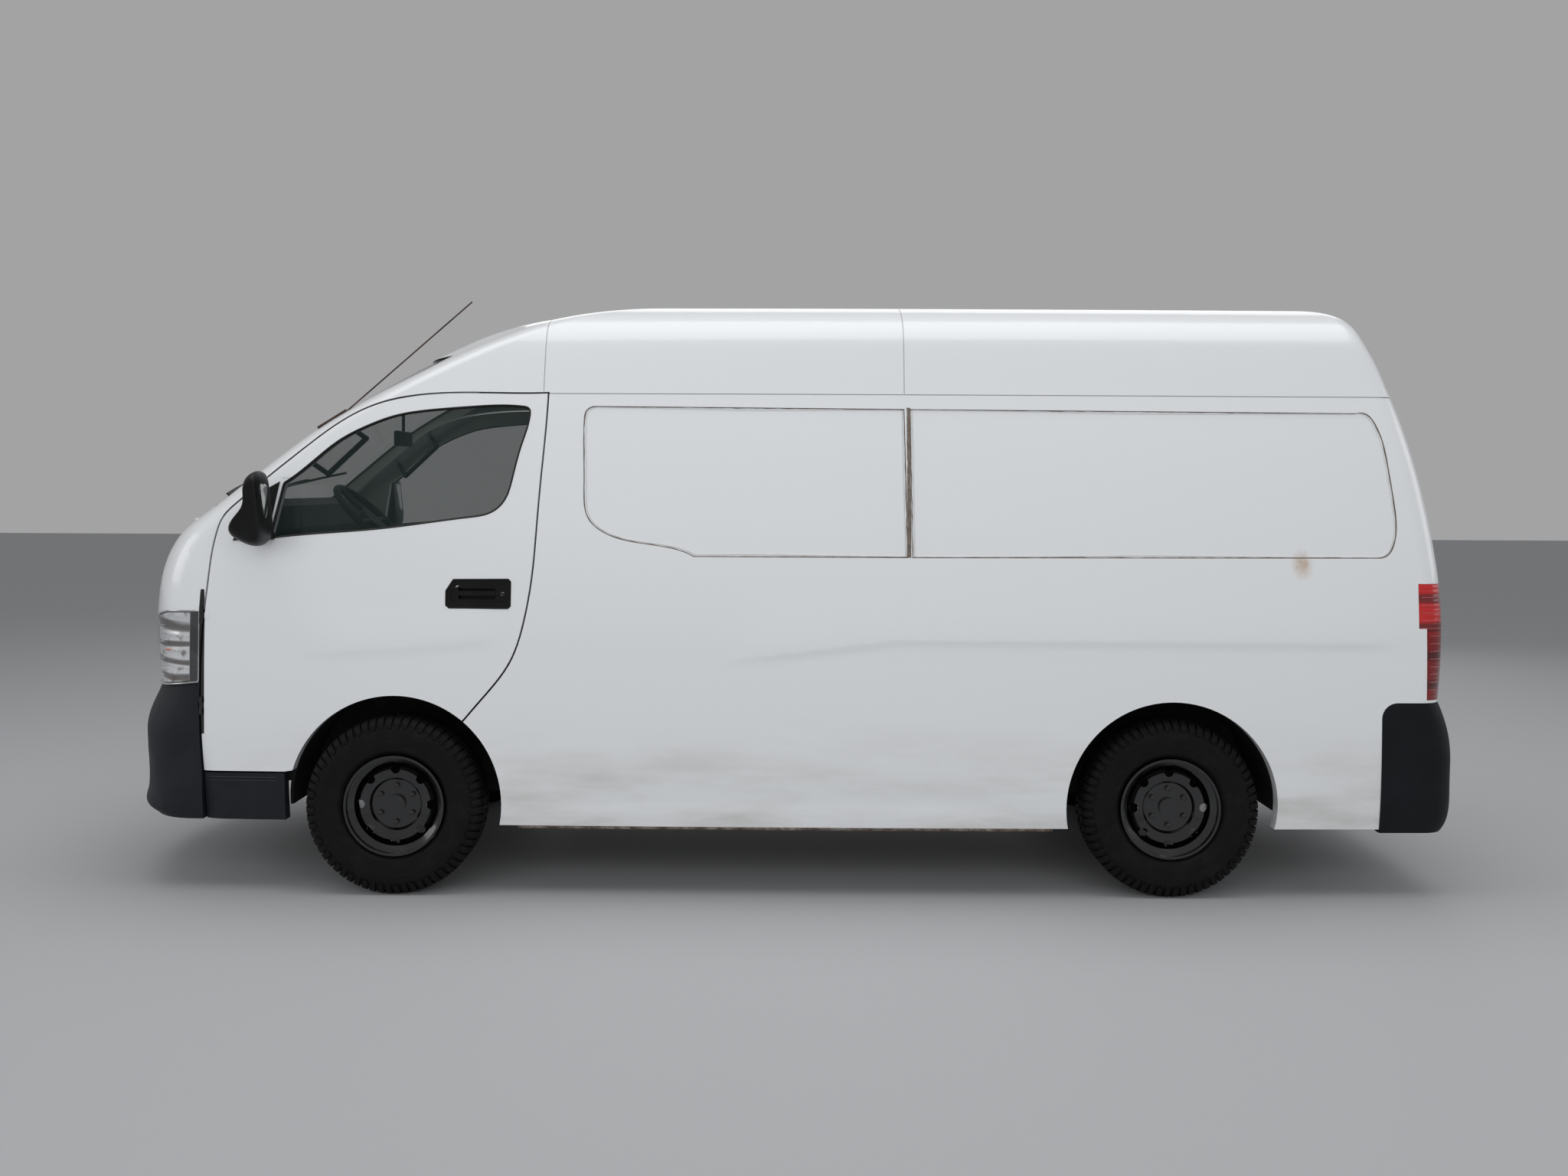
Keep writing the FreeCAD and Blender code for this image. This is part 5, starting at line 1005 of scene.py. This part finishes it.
def fitments():
    """Handle surrounds and locks, the step's pale lines, and the rusty seam flange under the sill."""
    corners = [(-1.255, 1.150), (-1.228, 1.192), (-1.020, 1.194), (-1.012, 1.186), (-1.012, 1.094),
               (-1.020, 1.086), (-1.243, 1.086), (-1.255, 1.096)]
    middle_x, middle_z, inner_width, inner_height = -1.1315, 1.1405, 0.86, 0.56
    lock_x, lock_z, lock_radius = -1.040, 1.140, 6 * MM
    step_front, step_rear = -2.172, -1.90
    sill_front, sill_rear, sill_height, flange_height = -0.98, 1.04, 0.268, 0.2575
    rim = between(corners + corners[:1], 8 * MM)[:-1]
    inner = [(middle_x + (x - middle_x) * inner_width, middle_z + (z - middle_z) * inner_height)
             for x, z in rim]
    step = tree_of("step_claddings")
    for side, name in SIDES:
        skin, body = tree_of(name + "_door"), node_body[name + "_door"]
        bead(name + "_handle_rim", [side_run(skin, rim, side)], (9 * MM, 7 * MM), black_moulding, body)
        plate_ring(name + "_handle_surround", skin, rim, inner, side, black_moulding, body)
        centre = on_side(tree_of(name + "_door", name + "_door_handle"), lock_x, lock_z, side, 2 * MM)
        turn = [centre + lock_radius * Vector((math.cos(a), 0, math.sin(a))) for a in np.linspace(0, 6.0, 12)]
        bead(name + "_door_lock", [turn], (11 * MM, 5 * MM), lock_metal, body)
        for height in (0.437, 0.424):
            line = between([(step_front, height), (step_rear, height)], 12 * MM)
            line = side_run(step, line, side, 0.2 * MM)
            bead(f"{name}_step_line_{round(height * 1000)}", [line], (4 * MM, 2.4 * MM), pale_step, ROOT,
                 closed=False)
        wall = tree_of("body_side_" + name, *(["sliding_door"] if side > 0 else []))
        sill = between([(sill_front, sill_height), (sill_rear, sill_height)], 15 * MM)
        seam = side_run(wall, sill, side, -3 * MM)
        for point in seam:
            point.z = flange_height
        bead(name + "_sill_flange", [seam], (8 * MM, 11 * MM), rusty_flange, ROOT, closed=False,
             wander=4 * MM, lump=22.0)


# Seats


def islands(form):
    """The separate solids of a form, each as a form of its own."""
    form.verts.ensure_lookup_table()
    left, found = set(range(len(form.verts))), []
    while left:
        start = left.pop()
        group, open_ends = {start}, [start]
        while open_ends:
            for edge in form.verts[open_ends.pop()].link_edges:
                for vert in edge.verts:
                    if vert.index in left:
                        left.discard(vert.index)
                        group.add(vert.index)
                        open_ends.append(vert.index)
        part = form.copy()
        part.verts.ensure_lookup_table()
        bmesh.ops.delete(part, geom=[vert for vert in part.verts if vert.index not in group], context="VERTS")
        found.append(part)
    return found


def soft_seats():
    """Seats as stuffed forms: rounded, and crowned between their stitched lines."""
    side_seam, single_width = 0.22, 0.7
    first_row, row_pitch = 0.16, 0.11
    seam_width, row_width, seam_depth, crown_height = 7 * MM, 6 * MM, 7 * MM, 6 * MM
    form = merged("seats")
    for number, part in enumerate(islands(form)):
        mesh = bpy.data.meshes.new("seat_form")
        part.to_mesh(mesh)
        part.free()
        holder = bpy.data.objects.new("seat_form", mesh)
        bpy.context.scene.collection.objects.link(holder)
        grid = holder.modifiers.new("grid", "REMESH")
        grid.mode = "VOXEL"
        grid.voxel_size = 11 * MM
        ease = holder.modifiers.new("ease", "SMOOTH")
        ease.factor = 0.5
        ease.iterations = 7
        soft = applied(holder, f"seat_{number}")
        places = np.empty(len(soft.vertices) * 3)
        soft.vertices.foreach_get("co", places)
        places = places.reshape(-1, 3)
        normals = np.array([tuple(vert.normal) for vert in soft.vertices])
        low, high = places.min(axis=0), places.max(axis=0)
        seat_count = 1 if high[1] - low[1] < single_width else 2
        width = (high[1] - low[1]) / seat_count
        across = (places[:, 1] - low[1]) / width
        share = across - np.floor(np.clip(across, 0, seat_count - 1e-6))
        depth = np.zeros(len(places))
        seams = (side_seam, 1 - side_seam) if seat_count == 1 else (0.0, side_seam, 1 - side_seam, 1.0)
        for line in seams:
            depth += np.exp(-((share - line) * width / seam_width) ** 2)
        crown = np.clip(np.sin(np.pi * np.clip((share - side_seam) / (1 - 2 * side_seam), 0, 1)), 0, 1)
        facing = np.clip(np.maximum(normals[:, 2], -normals[:, 0]), 0, 1)
        on_back = (crown > 0) * (normals[:, 0] < -0.4)
        for row in np.arange(low[2] + first_row, high[2], row_pitch):
            depth += 0.8 * np.exp(-((places[:, 2] - row) / row_width) ** 2) * on_back
        moved = (crown_height * crown - seam_depth * depth) * facing
        soft.vertices.foreach_set("co", np.clip(places + normals * moved[:, None], low, high).ravel())
        soft.update()
        shade(soft, 50.0)
        made = piece(f"seat_{number + 1}", soft, seat_cloth, ROOT, ["seats"])
    form.free()


# Wheel nuts, mirrors, wipers and sails


def wheel_nuts():
    """Six domed nuts on each road wheel, over its studs."""
    stud_radius, nut_radius, nut_length = 69.85 * MM, 11 * MM, 19 * MM
    nut_count, around, first_stud = 6, 18, math.radians(30)
    profile = [(1.0, -0.15), (1.0, 0.50), (0.93, 0.62), (0.78, 0.80), (0.50, 0.94), (0.18, 1.0)]
    for wheel, side in WHEELS:
        node = wheel + "_wheel"
        low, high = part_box(node)
        axle = (low + high) / 2
        outside = Vector((axle.x + stud_radius, side * 2.0, axle.z))
        seat, _, _, _ = tree_of(node).ray_cast(outside, Vector((0, -side, 0)))
        base = Vector((stud_radius * math.cos(first_stud), seat.y, stud_radius * math.sin(first_stud)))
        points, faces = [], []
        for radius, length in profile:
            points += [base + Vector((nut_radius * radius * math.cos(a), side * nut_length * length,
                                      nut_radius * radius * math.sin(a)))
                       for a in np.linspace(0, 2 * math.pi, around, endpoint=False)]
        for row in range(0, (len(profile) - 1) * around, around):
            faces += [(row + k, row + (k + 1) % around, row + around + (k + 1) % around, row + around + k)
                      for k in range(around)]
        faces += [tuple(range(around)), tuple(range(len(points) - around, len(points)))]
        nuts = with_nodes(mesh_of(node + "_nut", points, faces), copies_round_axle,
                          {"Count": nut_count, "Finish": wheel_enamel})
        nuts.transform(Matrix.Translation((axle.x, 0, axle.z)))
        shade(nuts, 40.0)
        piece(node + "_nuts", nuts, wheel_enamel, node_body[node])


def mirror_glasses():
    """Silvered glass set in the rearward face of each door mirror."""
    rearward, foot_reach, share, proud, thickness = 0.75, 0.93, 0.86, 1.2 * MM, 2.5 * MM
    for _, name in SIDES:
        form = merged(name + "_mirror")
        form.normal_update()
        rest = [face for face in form.faces
                if face.normal.x < rearward or abs(face.calc_center_median().y) < foot_reach]
        bmesh.ops.delete(form, geom=rest, context="FACES")
        middle = centre_of([vert.co for vert in form.verts])
        for vert in form.verts:
            vert.co = middle + (vert.co - middle) * share
            vert.co.x += proud
        made = bmesh.ops.extrude_face_region(form, geom=form.faces[:])
        for item in made["geom"]:
            if isinstance(item, bmesh.types.BMVert):
                item.co.x -= thickness
        bmesh.ops.recalc_face_normals(form, faces=form.faces)
        mesh = bpy.data.meshes.new(name + "_mirror_glass")
        form.to_mesh(mesh)
        form.free()
        shade(mesh)
        piece(name + "_mirror_glass", mesh, mirror_glass, node_body[name + "_mirror"])


def wipers():
    """Two wiper arms and blades on the windscreen."""
    screen = tree_of("windscreen")
    foot_height, tip_rise, arm_points = 1.50, 0.10, 15
    arms, blades = [], []
    for pivot_y, tip_y in ((-0.52, 0.02), (0.08, 0.60)):
        line = []
        for share in np.linspace(0, 1, 24):
            start = Vector((-3.0, pivot_y + (tip_y - pivot_y) * share, foot_height + tip_rise * share))
            hit, normal, _, _ = screen.ray_cast(start, Vector((1, 0, 0)))
            if hit:
                line.append((hit, normal))
        arms.append([hit + normal * 13 * MM for hit, normal in line[:arm_points]])
        blades.append([hit + normal * 5 * MM for hit, normal in line])
    bead("wiper_arms", arms, (10 * MM, 8 * MM), black_moulding, ROOT, closed=False)
    bead("wiper_blades", blades, (7 * MM, 11 * MM), rubber_seal, ROOT, closed=False)


def sail_bars():
    """Black strips over the narrow bar between the mirror's foot and the window."""
    # Only the line's top point meets the door, so each strip comes out as one small flat face
    foot_x, foot_z, run_x, run_z, half_width = -1.923, 1.350, 0.038, 0.225, 19 * MM
    corners = ((-1, -3 * MM), (-1, 2 * MM), (1, 2 * MM), (1, -3 * MM))
    for side, name in SIDES:
        door = name + "_door"
        skin = tree_of(door)
        points = []
        for share in np.linspace(0, 1, 14):
            x, z = foot_x + run_x * share, foot_z + run_z * share
            at = on_side(skin, x, z, side)
            if at and abs(at.y) > 0.7:
                points += [(x + step * half_width, at.y + side * height, z) for step, height in corners]
        last = len(points) - 4
        faces = [(row + k, row + (k + 1) % 4, row + 4 + (k + 1) % 4, row + 4 + k)
                 for row in range(0, last, 4) for k in range(4)]
        faces += [(0, 1, 2, 3), tuple(last + k for k in range(4))]
        piece(name + "_sail_bar", mesh_of(name + "_sail_bar", points, faces), black_moulding, node_body[door])


finish_nodes()
tyres()
sealing()
bodywork()
lamps()
fitments()
soft_seats()
wheel_nuts()
mirror_glasses()
wipers()
sail_bars()
studio()
